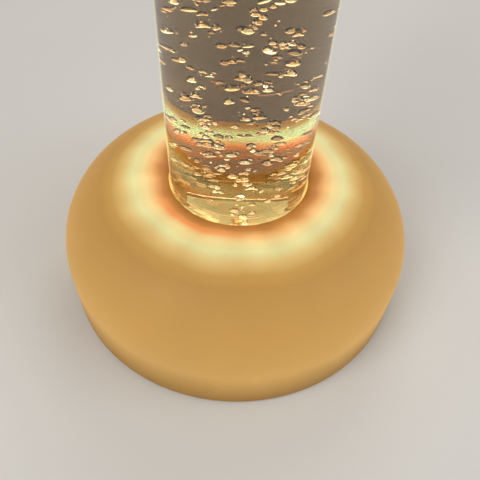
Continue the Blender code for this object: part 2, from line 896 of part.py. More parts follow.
def add_lamp_stand(plastic, board_white):
    """The stand on the socket's shelf, with the light board that shines up through the floor."""
    low = socket_shelf_height + seat_gap
    top_bottom = stand_top_height - stand_top_thickness
    ring = [
        (stand_ring_inner_radius, low), (stand_ring_outer_radius, low),
        (stand_ring_outer_radius, low + stand_ring_height),
        (stand_ring_inner_radius, low + stand_ring_height),
    ]
    stand = add_piece("lamp_stand", turned(ring, 32), plastic)
    leg_inside = stand_ring_inner_radius + seat_gap
    leg_outside = leg_inside + stand_leg_depth
    shoulder = top_bottom - (top_bottom - low - stand_ring_height) * stand_shoulder_share
    inside_top = stand_top_radius - stand_leg_thickness
    leg = [
        (leg_inside, low + stand_ring_height / 2.0), (leg_outside, low + stand_ring_height / 2.0),
        (leg_outside, shoulder),
        (stand_top_radius - seat_gap, stand_top_height - stand_top_thickness / 2.0),
        (inside_top, stand_top_height - stand_top_thickness / 2.0), (inside_top, top_bottom - seat_gap),
        (leg_inside, shoulder - stand_leg_depth / 2.0),
    ]
    legs = []
    for angle in spread(nozzle_count, nozzle_first_angle + 180.0 / nozzle_count):
        half = stand_leg_thickness / 2.0
        shape = moved(prism(leg, -half, half), degrees=90.0, axis="X")
        legs.append(moved(shape, degrees=angle))
    join(stand, grouped(legs), "legs")
    join(stand, cylinder(stand_top_radius, top_bottom, stand_top_height, 32), "top")
    hole = cylinder(stand_cable_hole_radius, top_bottom - overrun, stand_top_height + overrun, 12)
    cut(stand, moved(hole, (stand_cable_circle, 0.0, 0.0)), "cable_hole")
    board_low = stand_top_height + seat_gap
    board_high = board_low + board_thickness
    disc = cylinder(lamp_board_radius, board_low, board_high, 32)
    board = add_piece("lamp_board", disc, board_white)
    lights = light_ring(lamp_light_count, lamp_light_circle, board_high)
    lights.append(moved(light_shape(), (0.0, 0.0, board_high)))
    join(board, grouped(lights), "lights")


# Air line

def add_air_manifold(plastic):
    """The manifold under the stand: one inlet barb below and a port towards each nozzle."""
    outline = [
        (0.0, manifold_top), (manifold_radius, manifold_top), (manifold_radius, manifold_bottom),
        (barb_root_radius, manifold_bottom),
        (barb_root_radius, manifold_bottom - barb_length * 2.0 / 3.0),
        (barb_tip_radius, manifold_bottom - barb_length * 2.0 / 3.0),
        (barb_root_radius, manifold_bottom - barb_length), (0.0, manifold_bottom - barb_length),
    ]
    manifold = add_piece("air_manifold", turned(outline, 16), plastic)
    ports = []
    for angle in spread(nozzle_count, nozzle_first_angle):
        port = cylinder(barb_root_radius, 0.0, manifold_radius + manifold_port_length, 8)
        port = moved(port, degrees=90.0, axis="Y")
        port = moved(port, (0.0, 0.0, manifold_top - manifold_port_drop))
        ports.append(moved(port, degrees=angle))
    for number, port in enumerate(ports, 1):
        join(manifold, port, f"port_{number}")


def add_nozzle_hoses(silicone):
    """Short hoses that curve up from the manifold to the nozzles."""
    start_radius = manifold_radius + manifold_port_length + seat_gap
    start_height = manifold_top - manifold_port_drop
    end_height = nozzle_barb_tip - seat_gap
    reach_out = (nozzle_circle - start_radius) * 4.0 / 5.0
    reach_up = (end_height - start_height) * 2.0 / 3.0
    for number, angle in enumerate(spread(nozzle_count, nozzle_first_angle), 1):
        outward = circle_point(1.0, angle)
        start = circle_point(start_radius, angle, start_height)
        end = circle_point(nozzle_circle, angle, end_height)
        route = [(start, outward, reach_out), (end, (0.0, 0.0, 1.0), reach_up)]
        add_line(f"nozzle_hose_{number}", route, barb_tip_radius + seat_gap, silicone)


def check_valve_end(side):
    """A tip of the check valve: side -1 is its inlet, towards the pump, and side 1 its outlet."""
    reach = side * (check_valve_length / 2.0 + barb_length)
    return circle_point(bay_circle, check_valve_angle, air_line_height) + Vector((reach, 0.0, 0.0))


def add_check_valve(plastic):
    """The one-way valve that keeps the water out of the pump."""
    half = check_valve_length / 2.0
    tip = half + barb_length
    step = barb_length / 3.0
    chamfer = check_valve_radius / 3.0
    side = [
        (0.0, tip), (barb_root_radius, tip), (barb_tip_radius, tip - step),
        (barb_root_radius, tip - step), (barb_root_radius, half),
        (check_valve_radius - chamfer, half), (check_valve_radius, half - chamfer),
        (check_valve_radius, chamfer), (check_valve_radius + chamfer / 2.0, chamfer),
    ]
    outline = side + [(radius, -height) for radius, height in reversed(side)]
    place = circle_point(bay_circle, check_valve_angle, air_line_height)
    add_piece("check_valve", turned(outline, 12), plastic, place, turn=(0.0, 90.0, 0.0))


def add_air_hoses(silicone):
    """The hose from the pump to the check valve, and the hose that rises to the manifold."""
    gap = Vector((seat_gap, 0.0, 0.0))
    start = Vector((duct_centre_x(), -pump_length / 2.0 - barb_length - seat_gap, pump_duct_height))
    valve_in = check_valve_end(-1) - gap
    handle = (valve_in - start).length * pump_hose_bend_share
    pump_route = [(start, (0.0, -1.0, 0.0), handle), (valve_in, (1.0, 0.0, 0.0), handle)]
    add_line("pump_hose", pump_route, hose_radius, silicone, steps=10)
    valve_out = check_valve_end(1) + gap
    window = Vector((0.0, -socket_radius - barb_length, air_line_height))
    bend = -valve_out.x * 2.0 / 3.0
    foot = Vector((0.0, -socket_skirt_radius / 2.0, air_line_height))
    top = Vector((0.0, 0.0, manifold_bottom - barb_length - seat_gap))
    rise = top.z - foot.z
    riser_route = [
        (valve_out, (1.0, 0.0, 0.0), bend), (window, (0.0, 1.0, 0.0), bend),
        (foot, (0.0, 1.0, 0.0), bend), (top, (0.0, 0.0, 1.0), rise / 2.0),
    ]
    add_line("riser_hose", riser_route, hose_radius, silicone, steps=6)


# Air pump

def pump_place(x=0.0, y=0.0, z=0.0):
    """A place given from the middle of the pump's floor."""
    return Vector((x - bay_circle, y, z + pump_floor_height))


def duct_centre_x():
    """How far across the lamp the pump's outlet duct lies."""
    return -bay_circle + pump_width / 2.0 - pump_wall - duct_inset


def add_pump_case(rubber, plastic):
    """The pump's soft frame-shaped pad, its tray with bosses and core supports, and its cover."""
    pad_low = plate_top + seat_gap
    pad_high = pad_low + pump_pad_height
    width = pump_width - 2.0 * pump_pad_inset
    length = pump_length - 2.0 * pump_pad_inset
    frame = prism(rounded_rectangle(width, length, pump_pad_inset, 2), pad_low, pad_high)
    pad = add_piece("pump_pad", frame, rubber, (-bay_circle, 0.0, 0.0))
    opening = rounded_rectangle(
        width - 2.0 * pump_pad_width, length - 2.0 * pump_pad_width, pump_pad_inset, 2
    )
    cut(pad, prism(opening, pad_low - overrun, pad_high + overrun), "opening")
    outside = rounded_rectangle(pump_width, pump_length, pump_corner, 2)
    inside = rounded_rectangle(
        pump_width - 2.0 * pump_wall, pump_length - 2.0 * pump_wall, pump_corner - pump_wall, 2
    )
    rim_top = pump_rim_height
    tray = add_piece("pump_tray", prism(outside, -pump_floor_thickness, rim_top), plastic, pump_place())
    cut(tray, prism(inside, 0.0, rim_top + overrun), "hollow")
    supports = []
    support_top = core_lift - seat_gap
    for end in (-1, 1):
        far = end * core_half_length
        near = end * (core_half_length - core_plate_thickness)
        supports.append(block(
            (-core_neck_width, min(far, near), -pump_floor_thickness / 2.0),
            (core_neck_width, max(far, near), support_top),
        ))
        boss = cylinder(arm_hub_radius, -pump_floor_thickness / 2.0, arm_boss_height, 10)
        supports.append(moved(boss, (-arm_reach, end * (arm_face + arm_thickness / 2.0), 0.0)))
    join(tray, grouped(supports), "supports")
    pin_holes = [cylinder(pump_intake_radius, -pump_floor_thickness - overrun, overrun, 12)]
    for end in (-1, 1):
        hole = cylinder(arm_pin_radius + seat_gap, seat_gap, arm_boss_height + overrun, 10)
        pin_holes.append(moved(hole, (-arm_reach, end * (arm_face + arm_thickness / 2.0), 0.0)))
    cut(tray, grouped(pin_holes), "pin_holes")
    low = rim_top + seat_gap
    high = low + pump_cover_height
    cover = add_piece("pump_cover", prism(outside, low, high), plastic, pump_place())
    cut(cover, prism(inside, low - overrun, high - pump_wall), "hollow")
    duct_hole = cylinder(duct_radius + seat_gap, 0.0, pump_wall + 2.0 * overrun, 12)
    hole_place = (duct_centre_x() + bay_circle, -pump_length / 2.0 + pump_wall + overrun, pump_line_height)
    cut(cover, moved(duct_hole, hole_place, 90.0, "X"), "duct_hole")


def add_pump_coil(steel, copper):
    """The pump's laminated core, with a pole plate at each end, and the coil round its neck."""
    plate = core_plate_width / 2.0
    neck = core_neck_width / 2.0
    end = core_half_length
    inner = end - core_plate_thickness
    outline = [
        (-plate, -end), (plate, -end), (plate, -inner), (neck, -inner),
        (neck, inner), (plate, inner), (plate, end), (-plate, end),
        (-plate, inner), (-neck, inner), (-neck, -inner), (-plate, -inner),
    ]
    core = prism(outline, core_lift, core_lift + core_height)
    add_piece("pump_core", core, steel, pump_place())
    hole_width = core_neck_width + 2.0 * seat_gap
    hole_height = core_height + 2.0 * seat_gap
    half = inner - coil_slack
    winding = prism(
        rounded_rectangle(hole_width + 2.0 * coil_build, hole_height + 2.0 * coil_build, coil_build / 2.0),
        -half, half,
    )
    coil = add_piece(
        "pump_coil", moved(winding, degrees=90.0, axis="X"), copper, pump_place(z=core_middle)
    )
    hole = block((-hole_width / 2.0, -hole_height / 2.0, -end), (hole_width / 2.0, hole_height / 2.0, end))
    cut(coil, moved(hole, degrees=90.0, axis="X"), "neck_hole")


def add_pump_arm(end, side, plastic, magnet_grey, rubber):
    """One swinging arm on its pin, with its magnet and its bellows. Side is 1 at the rear."""
    pivot = pump_place(-arm_reach, side * (arm_face + arm_thickness / 2.0), core_middle)
    pivot_marker = add_marker(f"pump_pivot_{end}", pivot)
    half = arm_height / 2.0
    bar = block((0.0, -arm_thickness / 2.0, -half), (arm_reach + arm_tip, arm_thickness / 2.0, half))
    arm = add_piece(f"pump_arm_{end}", bar, plastic, parent=pivot_marker)
    join(arm, cylinder(arm_hub_radius, -half, half, 12), "hub")
    cut(arm, cylinder(arm_pin_radius + seat_gap, -half - overrun, half + overrun, 12), "pin_hole")
    near = -side * (arm_thickness / 2.0 + seat_gap)
    far = near - side * magnet_thickness
    magnet = block(
        (arm_reach - magnet_width / 2.0, min(near, far), -magnet_width / 2.0),
        (arm_reach + magnet_width / 2.0, max(near, far), magnet_width / 2.0),
    )
    bmesh.ops.bevel(
        magnet, geom=list(magnet.edges), offset=magnet_thickness / 8.0, segments=1, affect="EDGES"
    )
    add_piece(f"pump_magnet_{end}", magnet, magnet_grey, parent=pivot_marker)
    turn = (-90.0 * side, 0.0, 0.0)
    place = (arm_reach, side * (arm_thickness / 2.0 + seat_gap), 0.0)
    add_piece(f"pump_bellows_{end}", bellows_shape(), rubber, place, turn, pivot_marker)


def bellows_shape():
    """A rubber cup with two folds, closed where it meets the arm and open to the chamber."""
    fold = bellows_length / 4.0
    outside = [
        (0.0, 0.0), (bellows_waist_radius, 0.0), (bellows_radius, fold),
        (bellows_waist_radius + bellows_wall / 2.0, 2.0 * fold),
        (bellows_radius, 3.0 * fold), (bellows_radius, bellows_length),
    ]
    rim = bellows_radius - bellows_wall
    inside = [(rim, bellows_length), (rim, bellows_wall), (0.0, bellows_wall)]
    return turned(outside + inside, 16)


def add_pump_chamber(end, side, plastic):
    """A valve chamber on the tray: a spigot inside the bellows and a body against the end wall."""
    half = chamber_width / 2.0
    near = side * chamber_face
    far = side * (chamber_face + chamber_thickness)
    body = block(
        (-half, min(near, far), seat_gap), (half, max(near, far), seat_gap + chamber_height)
    )
    bmesh.ops.bevel(body, geom=list(body.edges), offset=pump_wall / 2.0, segments=1, affect="EDGES")
    chamber = add_piece(f"pump_chamber_{end}", body, plastic, pump_place())
    spigot_radius = bellows_radius - bellows_wall - running_gap
    spigot = cylinder(spigot_radius, -overrun, spigot_length, 16)
    join(chamber, moved(spigot, (0.0, near, core_middle), 90.0 * side, "X"), "spigot")


def add_pump_pins(steel):
    """The two steel pins that the arms swing on."""
    for end, side in (("front", -1), ("rear", 1)):
        pin = cylinder(arm_pin_radius, 2.0 * seat_gap, arm_pin_height, 10)
        place = pump_place(-arm_reach, side * (arm_face + arm_thickness / 2.0))
        add_piece(f"pump_pin_{end}", pin, steel, place)


def add_pump_duct(plastic):
    """The duct that joins both chambers and leaves the cover as the pump's outlet barb."""
    tip = -pump_length / 2.0 - barb_length
    stub_radius = duct_radius * 3.0 / 4.0
    rear = chamber_face + chamber_thickness / 2.0 + stub_radius
    barb_root = tip + barb_length / 3.0
    outline = [
        (0.0, rear), (duct_radius, rear), (duct_radius, barb_root),
        (barb_tip_radius, barb_root), (barb_root_radius, tip), (0.0, tip),
    ]
    duct = add_piece(
        "pump_duct", turned(outline, 12), plastic,
        (duct_centre_x(), 0.0, pump_duct_height), turn=(-90.0, 0.0, 0.0),
    )
    start = -(duct_centre_x() + bay_circle - chamber_width / 2.0 - seat_gap)
    for number, side in enumerate((-1, 1), 1):
        stub = moved(cylinder(stub_radius, start, 0.0, 8), degrees=90.0, axis="Y")
        middle = side * (chamber_face + chamber_thickness / 2.0)
        join(duct, moved(stub, (0.0, 0.0, middle)), f"stub_{number}")


# Electrics

def control_post_places():
    """Where the control board stands on the plate's posts."""
    x = control_board_width / 2.0 - control_post_inset
    y = control_board_length / 2.0 - control_post_inset
    return [Vector((bay_circle + side * x, end * y, 0.0)) for side in (-1, 1) for end in (-1, 1)]


def connector_places():
    """Where each cable plugs in: the middle of the connector, and the way that it faces."""
    edge = control_board_length / 2.0 - connector_depth
    side = -control_board_width / 2.0 + connector_depth
    return {
        "inlet": ((-connector_width * 3.0 / 4.0, edge), (0.0, 1.0)),
        "button": ((connector_width * 3.0 / 4.0, edge), (0.0, 1.0)),
        "pump": ((side, connector_width * 2.0), (-1.0, 0.0)),
        "lamp": ((side, 0.0), (-1.0, 0.0)),
        "ring": ((side, -connector_width * 2.0), (-1.0, 0.0)),
    }


def add_control_board(green):
    """The control board on its posts, with the capacitors, chips and connectors soldered to it."""
    outline = rounded_rectangle(control_board_width, control_board_length, control_board_corner, 2)
    place = (bay_circle, 0.0, control_board_height)
    board = add_piece("control_board", prism(outline, 0.0, board_thickness), green, place)
    holes = []
    for post in control_post_places():
        hole = cylinder(control_peg_radius + screw_clearance, -overrun, board_thickness + overrun, 8)
        holes.append(moved(hole, (post.x - bay_circle, post.y, 0.0)))
    cut(board, grouped(holes), "holes")
    low = board_thickness / 2.0
    high = board_thickness
    parts = []
    for y in (-capacitor_radius * 4.0, -capacitor_radius * 3.0 / 2.0):
        can = cylinder(capacitor_radius, low, high + capacitor_height, 12)
        parts.append(moved(can, (control_board_width / 4.0, y, 0.0)))
    for y in (chip_size, chip_size * 5.0 / 2.0):
        x = chip_size / 2.0
        parts.append(block((x - chip_size / 2.0, y - chip_size / 2.0, low),
                           (x + chip_size / 2.0, y + chip_size / 2.0, high + chip_height)))
    for (x, y), facing in connector_places().values():
        wide = connector_width if facing[1] else connector_depth
        deep = connector_depth if facing[1] else connector_width
        parts.append(block((x - wide / 2.0, y - deep / 2.0, low),
                           (x + wide / 2.0, y + deep / 2.0, high + connector_height)))
    join(board, grouped(parts), "parts")


def add_inlet(black, steel):
    """The round power inlet in the recess, with the pin inside its jack, and its nut."""
    front = seat_gap + inlet_flange_height
    back = front - inlet_body_length
    jack_floor = front - jack_depth
    outline = [
        (0.0, jack_floor + jack_pin_length), (jack_pin_radius, jack_floor + jack_pin_length),
        (jack_pin_radius, jack_floor), (jack_radius, jack_floor), (jack_radius, front),
        (inlet_flange_radius, front), (inlet_flange_radius, seat_gap),
        (inlet_thread_radius, seat_gap), (inlet_thread_radius, back), (0.0, back),
    ]
    place = (inlet_side_offset, recess_floor, recess_middle)
    add_piece("power_inlet", turned(outline, 16), black, place, turn=(-90.0, 0.0, 0.0))
    add_panel_nut("inlet_nut", inlet_side_offset, inlet_thread_radius, inlet_flange_radius, steel)


def add_button(black, steel, opal):
    """The push button: bezel and body, plunger, return spring and nut."""
    place = Vector((button_side_offset, recess_floor, recess_middle))
    turn = (-90.0, 0.0, 0.0)
    front = seat_gap + button_bezel_height
    back = front - button_body_length
    well = button_radius + seat_gap
    well_floor = front - button_well_depth
    outline = [
        (0.0, well_floor), (well, well_floor), (well, front),
        (button_bezel_radius - button_round, front), (button_bezel_radius, front - button_round),
        (button_bezel_radius, seat_gap), (button_thread_radius, seat_gap),
        (button_thread_radius, back), (0.0, back),
    ]
    add_piece("button_body", turned(outline, 20), black, place, turn)
    top = front + button_proud
    bottom = top - button_proud - button_depth
    plunger = [(0.0, top)]
    plunger += arc_points(
        (button_radius - button_round, top - button_round), (button_round, button_round), 90.0, 0.0, 2
    )
    plunger += [(button_radius, bottom), (0.0, bottom)]
    add_piece("power_button", turned(plunger, 16), opal, place, turn)
    add_button_spring(steel, well_floor + seat_gap, bottom - seat_gap, place, turn)
    add_panel_nut("button_nut", button_side_offset, button_thread_radius, button_bezel_radius, steel)


def add_panel_nut(name, side_offset, thread_radius, flat_radius, steel):
    """A nut behind the recess that holds the inlet or the button."""
    nut = hexagon_nut(thread_radius, flat_radius, 0.0, panel_nut_height)
    behind = (side_offset, recess_floor - recess_wall - seat_gap, recess_middle)
    add_piece(name, nut, steel, behind, turn=(90.0, 0.0, 0.0))


def add_button_spring(steel, low, high, place, turn):
    """A coil spring as one unbroken wire, between the well's floor and the plunger."""
    curve = bpy.data.curves.new("button_spring", "CURVE")
    curve.dimensions = "3D"
    curve.bevel_depth = spring_wire_radius
    curve.bevel_resolution = 1
    curve.use_fill_caps = True
    points = spring_turns * 9
    line = curve.splines.new("POLY")
    line.points.add(points)
    first = low + spring_wire_radius
    rise = high - low - 2.0 * spring_wire_radius
    for step, corner in enumerate(line.points):
        share = step / points
        corner.co = (*circle_point(spring_radius, 360.0 * spring_turns * share, first + rise * share), 1.0)
    add_object("button_spring", curve, steel, place, turn)


def cable_start(name):
    """Where a cable leaves its connector on the control board, and in which direction."""
    (x, y), facing = connector_places()[name]
    reach = connector_depth / 2.0 + seat_gap
    height = control_board_height + board_thickness + connector_height / 2.0
    place = Vector((bay_circle + x + facing[0] * reach, y + facing[1] * reach, height))
    return place, Vector((*facing, 0.0))


def add_cables(black):
    """The cables in the base, each from its connector to the piece that it feeds."""
    rear_back = recess_floor + seat_gap
    inlet_back = rear_back + inlet_flange_height - inlet_body_length - seat_gap
    button_back = rear_back + button_bezel_height - button_body_length - seat_gap
    handle = connector_depth * 5.0
    start, facing = cable_start("inlet")
    route = [
        (start, facing, connector_depth * 2.0),
        (circle_point(outer_cable_circle, 58.0, cable_height), (-0.85, 0.53, 0.0), handle),
        (Vector((inlet_side_offset, inlet_back, recess_middle)), (0.0, 1.0, 0.0), handle / 2.0),
    ]
    add_line("inlet_cable", route, cable_radius, black)
    start, facing = cable_start("button")
    route = [
        (start, facing, connector_depth * 2.0),
        (circle_point(outer_cable_circle + connector_width, 58.0, cable_height),
         (-0.85, 0.53, 0.0), handle / 2.0),
        (Vector((button_side_offset, button_back, recess_middle)), (0.0, 1.0, 0.0), handle / 2.0),
    ]
    add_line("button_cable", route, cable_radius, black)
    start, facing = cable_start("pump")
    pump_end = Vector((-bay_circle, pump_length / 2.0 + seat_gap, pump_duct_height))
    route = [
        (start, facing, connector_depth),
        (circle_point(inner_cable_circle, 45.0, cable_height), (-1.0, 1.0, 0.0), handle),
        (circle_point(inner_cable_circle, 95.0, cable_height), (-1.0, 0.0, 0.0), handle),
        (pump_end, (0.0, -1.0, 0.0), handle),
    ]
    add_line("pump_cable", route, cable_radius, black)
    start, facing = cable_start("ring")
    ring_end = circle_point(ring_light_circle, -12.0, ring_board_height - seat_gap)
    route = [(start, facing, connector_depth), (ring_end, (0.0, 0.0, 1.0), handle)]
    add_line("ring_cable", route, cable_radius, black)
    start, facing = cable_start("lamp")
    lamp_end = Vector((stand_cable_circle, 0.0, stand_top_height))
    bend = stand_cable_circle / 2.0
    before = Vector((stand_cable_circle + bend, 0.0, start.z))
    after = Vector((stand_cable_circle, 0.0, start.z + bend))
    route = [
        (start, facing, bend), (before, (-1.0, 0.0, 0.0), bend / 2.0),
        (after, (0.0, 0.0, 1.0), bend / 2.0), (lamp_end, (0.0, 0.0, 1.0), bend),
    ]
    add_line("lamp_cable", route, cable_radius, black)


# Cap

def add_cap(white, rubber):
    """The lift-off cap: a low dome with a vent, and a plug with a seal ring inside the tube."""
    edge_low = seat_gap
    edge_high = seat_gap + cap_edge_height
    radius = tube_radius + cap_overhang
    plug = tube_bore_radius - cap_plug_clearance
    plug_inner = plug - cap_plug_wall
    groove = plug - cap_groove_depth
    groove_top = -cap_groove_drop + cap_groove_height / 2.0
    dome_centre = (0.0, edge_high - cap_edge_round / 2.0)
    dome = (radius - cap_edge_round / 2.0, cap_crown_rise + cap_edge_round / 2.0)
    vent_degrees = math.degrees(math.acos(cap_vent_radius / dome[0]))
    outline = [(cap_vent_radius, edge_high - cap_vent_round)]
    outline += arc_points(dome_centre, dome, vent_degrees, 12.0, 5)
    outline += [
        (radius, edge_high - cap_edge_round), (radius, edge_low), (plug, edge_low),
        (plug, groove_top), (groove, groove_top), (groove, groove_top - cap_groove_height),
        (plug, groove_top - cap_groove_height), (plug, -cap_plug_depth), (plug_inner, -cap_plug_depth),
        (plug_inner, edge_high - cap_roof_thickness), (cap_vent_radius, edge_high - cap_roof_thickness),
    ]
    place = (0.0, 0.0, tube_top)
    add_piece("cap", turned(outline, 32), white, place)
    ring_radius = groove + seat_gap + cap_seal_radius
    section = arc_points((ring_radius, -cap_groove_drop), (cap_seal_radius, cap_seal_radius), 0.0, 300.0, 5)
    add_piece("cap_seal", turned(section, 32), rubber, place)


def main():
    """Clears the scene and builds the lamp."""
    for leftover in list(bpy.data.objects):
        bpy.data.objects.remove(leftover)
    opal = paint("opal_plastic", opal_colour, 0.5, glow=0.5)
    white = paint("white_plastic", white_colour, 0.45)
    grey = paint("grey_plastic", grey_colour, 0.55)
    black = paint("black_plastic", black_colour, 0.4)
    rubber = paint("black_rubber", rubber_colour, 0.8)
    silicone = paint("silicone", silicone_colour, 0.35)
    steel = paint("steel", steel_colour, 0.35, metallic=1.0)
    brass = paint("brass", brass_colour, 0.3, metallic=1.0)
    copper = paint("copper", copper_colour, 0.35, metallic=1.0)
    board_white = paint("white_board", board_colour, 0.5)
    green = paint("green_board", green_board_colour, 0.4)
    acrylic = paint("clear_acrylic", acrylic_colour, 0.05, alpha=0.3)
    water = paint("water", water_colour, 0.02, alpha=0.3)

    add_base_shell(opal)
    add_base_plate(grey)
    add_feet(rubber)
    add_base_screws(steel)
    add_tube_socket(white)
    add_socket_screws(steel)
    add_ring_lights(board_white)
    add_tube(acrylic, rubber)
    add_nozzles(brass)
    add_water(water)
    add_lamp_stand(white, board_white)
    add_air_manifold(white)
    add_nozzle_hoses(silicone)
    add_check_valve(white)
    add_air_hoses(silicone)
    add_pump_case(rubber, grey)
    add_pump_coil(steel, copper)
    for end, side in (("front", -1), ("rear", 1)):
        add_pump_arm(end, side, black, steel, rubber)
        add_pump_chamber(end, side, white)
    add_pump_pins(steel)
    add_pump_duct(white)
    add_control_board(green)
    add_inlet(black, steel)
    add_button(black, steel, white)
    add_cables(black)
    add_cap(white, rubber)


main()
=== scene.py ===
"""Looks of the bubble tube lamp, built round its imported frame. Metres, +Z up, front towards -Y."""

import math
import random

import bmesh
import bpy
from mathutils import Matrix, Vector


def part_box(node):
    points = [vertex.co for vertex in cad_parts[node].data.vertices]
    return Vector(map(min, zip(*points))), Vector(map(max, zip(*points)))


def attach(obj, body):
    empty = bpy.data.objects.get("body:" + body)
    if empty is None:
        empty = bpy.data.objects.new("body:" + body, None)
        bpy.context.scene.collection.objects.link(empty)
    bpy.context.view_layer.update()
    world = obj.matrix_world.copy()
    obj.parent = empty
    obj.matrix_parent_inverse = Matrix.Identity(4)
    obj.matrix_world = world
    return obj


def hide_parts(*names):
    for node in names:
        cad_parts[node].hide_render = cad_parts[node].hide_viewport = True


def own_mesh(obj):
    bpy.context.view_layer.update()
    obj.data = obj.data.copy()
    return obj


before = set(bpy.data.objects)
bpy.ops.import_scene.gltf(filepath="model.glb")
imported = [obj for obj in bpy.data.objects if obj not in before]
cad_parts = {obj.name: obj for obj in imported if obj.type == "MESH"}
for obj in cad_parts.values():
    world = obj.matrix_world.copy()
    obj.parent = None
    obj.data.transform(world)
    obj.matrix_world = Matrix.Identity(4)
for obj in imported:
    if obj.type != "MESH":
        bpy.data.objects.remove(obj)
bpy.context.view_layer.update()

# The base shell, with the same sizes as in the frame
base_radius = 0.199
base_side_height = 0.065
crown_height = 0.148
crown_radius = 0.100
shell_wall = 0.004
shell_rim_height = 0.003
shell_rim_round = 0.003
hole_radius = 0.0762
lip_drop = 0.004
lip_thickness = 0.002
lip_bevel = 0.005
overrun = 0.001

# The recess at the shell's rear, and (place across, radius) of its holes for the inlet and the button
recess_width = 0.096
recess_height = 0.030
recess_middle = 0.035
recess_depth = 0.021
recess_wall = 0.004
recess_corner = 0.004
panel_holes = ((-0.024, 0.0058), (0.024, 0.0083))

# The shell's three screw bosses and their pilot holes
boss_angles = (30.0, 150.0, 270.0)
boss_radius = 0.0065
boss_circle = 0.184
boss_low, boss_high = 0.0143, 0.0383
pilot_radius = 0.0024
pilot_length = 0.018

# The tube, its floor and its water, which reach into each other so that no film of air shows
tube_radius = 0.075
tube_bore = 0.071
tube_edge = 0.0005
tube_low, tube_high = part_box("tube")[0].z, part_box("tube")[1].z
floor_low, floor_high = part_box("tube_floor")[0].z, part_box("tube_floor")[1].z
water_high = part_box("water")[1].z
meniscus_width = 0.003
meniscus_height = 0.002
overlap = 0.00005

# The button's spring
spring_wire_radius = 0.0004
spring_turns = 4
spring_steps = 24

# The circuit boards: where the light chips start above a board's underside, and the control board's top
chip_rise = 0.0017
control_board_top = 0.0240

# The shell's glow, by the way along the shell from the edge of its hole
ring_light_count = 16
glow_peak = 0.032
glow_length = 0.272

# How strongly the clear pieces bend light
acrylic_index = 1.49
water_index = 1.33

# The opal shell's own colour, and the studio's light that it returns
opal_colour = (0.15, 0.10, 0.03)
studio_share = (0.146, 0.103, 0.040)

# The streams of bubbles: each starts at a nozzle, leans inwards, spreads and sways as it rises
nozzle_circle = 0.042
nozzle_angles = (30.0, 150.0, 270.0)
stream_weights = (0.40, 0.38, 0.22)
stream_margin = 0.006
stream_lean, lean_height = 0.32, 0.06
first_spread, added_spread, spread_height = 0.004, 0.015, 0.12
stream_sway, sway_height = 0.008, 0.045

# The bubbles: those of the streams, those caught beside them, and the finest
bubble_count = 1100
bubble_reach = 0.062
bubble_width, bubble_width_spread = 0.0070, 0.0020
bubble_narrowest, bubble_widest = 0.003, 0.0108
dome_share, belly_share, across_share = 0.69, 0.31, 0.8
bubble_flattest, bubble_roundest = 0.34, 0.60
bubble_tilt = 0.38
least_droop, most_droop = -0.1, 0.55
beside_chance = 0.38
beside_smallest, beside_largest = 0.45, 0.95
beside_rise = 0.45
beside_tilt = 0.3
beside_reach = 0.064
speck_count = 900
speck_reach = 0.066
speck_margin = 0.004
speck_narrowest, speck_widest = 0.0007, 0.0020
speck_flatness = 0.8

# The studio
stage_radius = 9.0
haze_start, haze_full = 1.3, 3.2
room_colour = (0.56, 0.545, 0.52)
ceiling_colour = (0.30, 0.28, 0.25)

# The photograph's view: its width and focal length in pixels, and the camera's turns in degrees
photo_width = 480.0
photo_focal = 502.9
camera_pitch, camera_yaw, camera_roll = 49.323, 0.757, 3.212
camera_place = (0.0, -0.41388, 0.51556)
sensor_width = 36.0

black = (0.0, 0.0, 0.0)
white = (1.0, 1.0, 1.0)


# Meshes

def linked(name, data):
    """A new object in the scene, of a mesh, a curve, a light or a camera."""
    made = bpy.data.objects.new(name, data)
    bpy.context.scene.collection.objects.link(made)
    return made


def solid(name, shape):
    """A new object of a closed shape, with its faces pointing out."""
    mesh = bpy.data.meshes.new(name)
    bmesh.ops.recalc_face_normals(shape, faces=shape.faces)
    shape.to_mesh(mesh)
    shape.free()
    return linked(name, mesh)


def arc(centre, radii, first, last, steps):
    """Points of an elliptical arc, angles in degrees."""
    points = []
    for step in range(steps + 1):
        turn = math.radians(first + (last - first) * step / steps)
        across = centre[0] + radii[0] * math.cos(turn)
        up = centre[1] + radii[1] * math.sin(turn)
        points.append((across, up))
    return points


def circle(centre, radius, sides):
    """Points of a full circle."""
    return arc(centre, (radius, radius), 0.0, 360.0 * (sides - 1) / sides, sides - 1)


def rounded_rectangle(width, height, corner, steps):
    """Points of a rectangle with round corners, round the origin."""
    points = []
    for quarter, (across, up) in enumerate(((1.0, 1.0), (-1.0, 1.0), (-1.0, -1.0), (1.0, -1.0))):
        centre = (across * (width / 2.0 - corner), up * (height / 2.0 - corner))
        points += arc(centre, (corner, corner), 90.0 * quarter, 90.0 * quarter + 90.0, steps)
    return points


def lathe(name, outline, facets=192, closed=True):
    """A solid turned round Z from an outline of (radius, height)."""
    shape = bmesh.new()
    rings = []
    for radius, height in outline:
        if radius == 0.0:
            rings.append([shape.verts.new((0.0, 0.0, height))])
            continue
        ring = []
        for facet in range(facets):
            turn = 2.0 * math.pi * facet / facets
            ring.append(shape.verts.new((radius * math.cos(turn), radius * math.sin(turn), height)))
        rings.append(ring)
    pairs = list(zip(rings, rings[1:]))
    if closed:
        pairs.append((rings[-1], rings[0]))
    for low, high in pairs:
        for facet in range(facets):
            after = (facet + 1) % facets
            corners = (
                low[facet % len(low)], low[after % len(low)],
                high[after % len(high)], high[facet % len(high)],
            )
            separate = list(dict.fromkeys(corners))
            if len(separate) > 2:
                shape.faces.new(separate)
    piece = solid(name, shape)
    smooth(piece)
    return piece


def smooth(piece, degrees=35.0):
    """Smooth shading with sharp edges where faces turn by more than the given angle."""
    mesh = piece.data
    mesh.shade_smooth()
    mesh.set_sharp_from_angle(angle=math.radians(degrees))


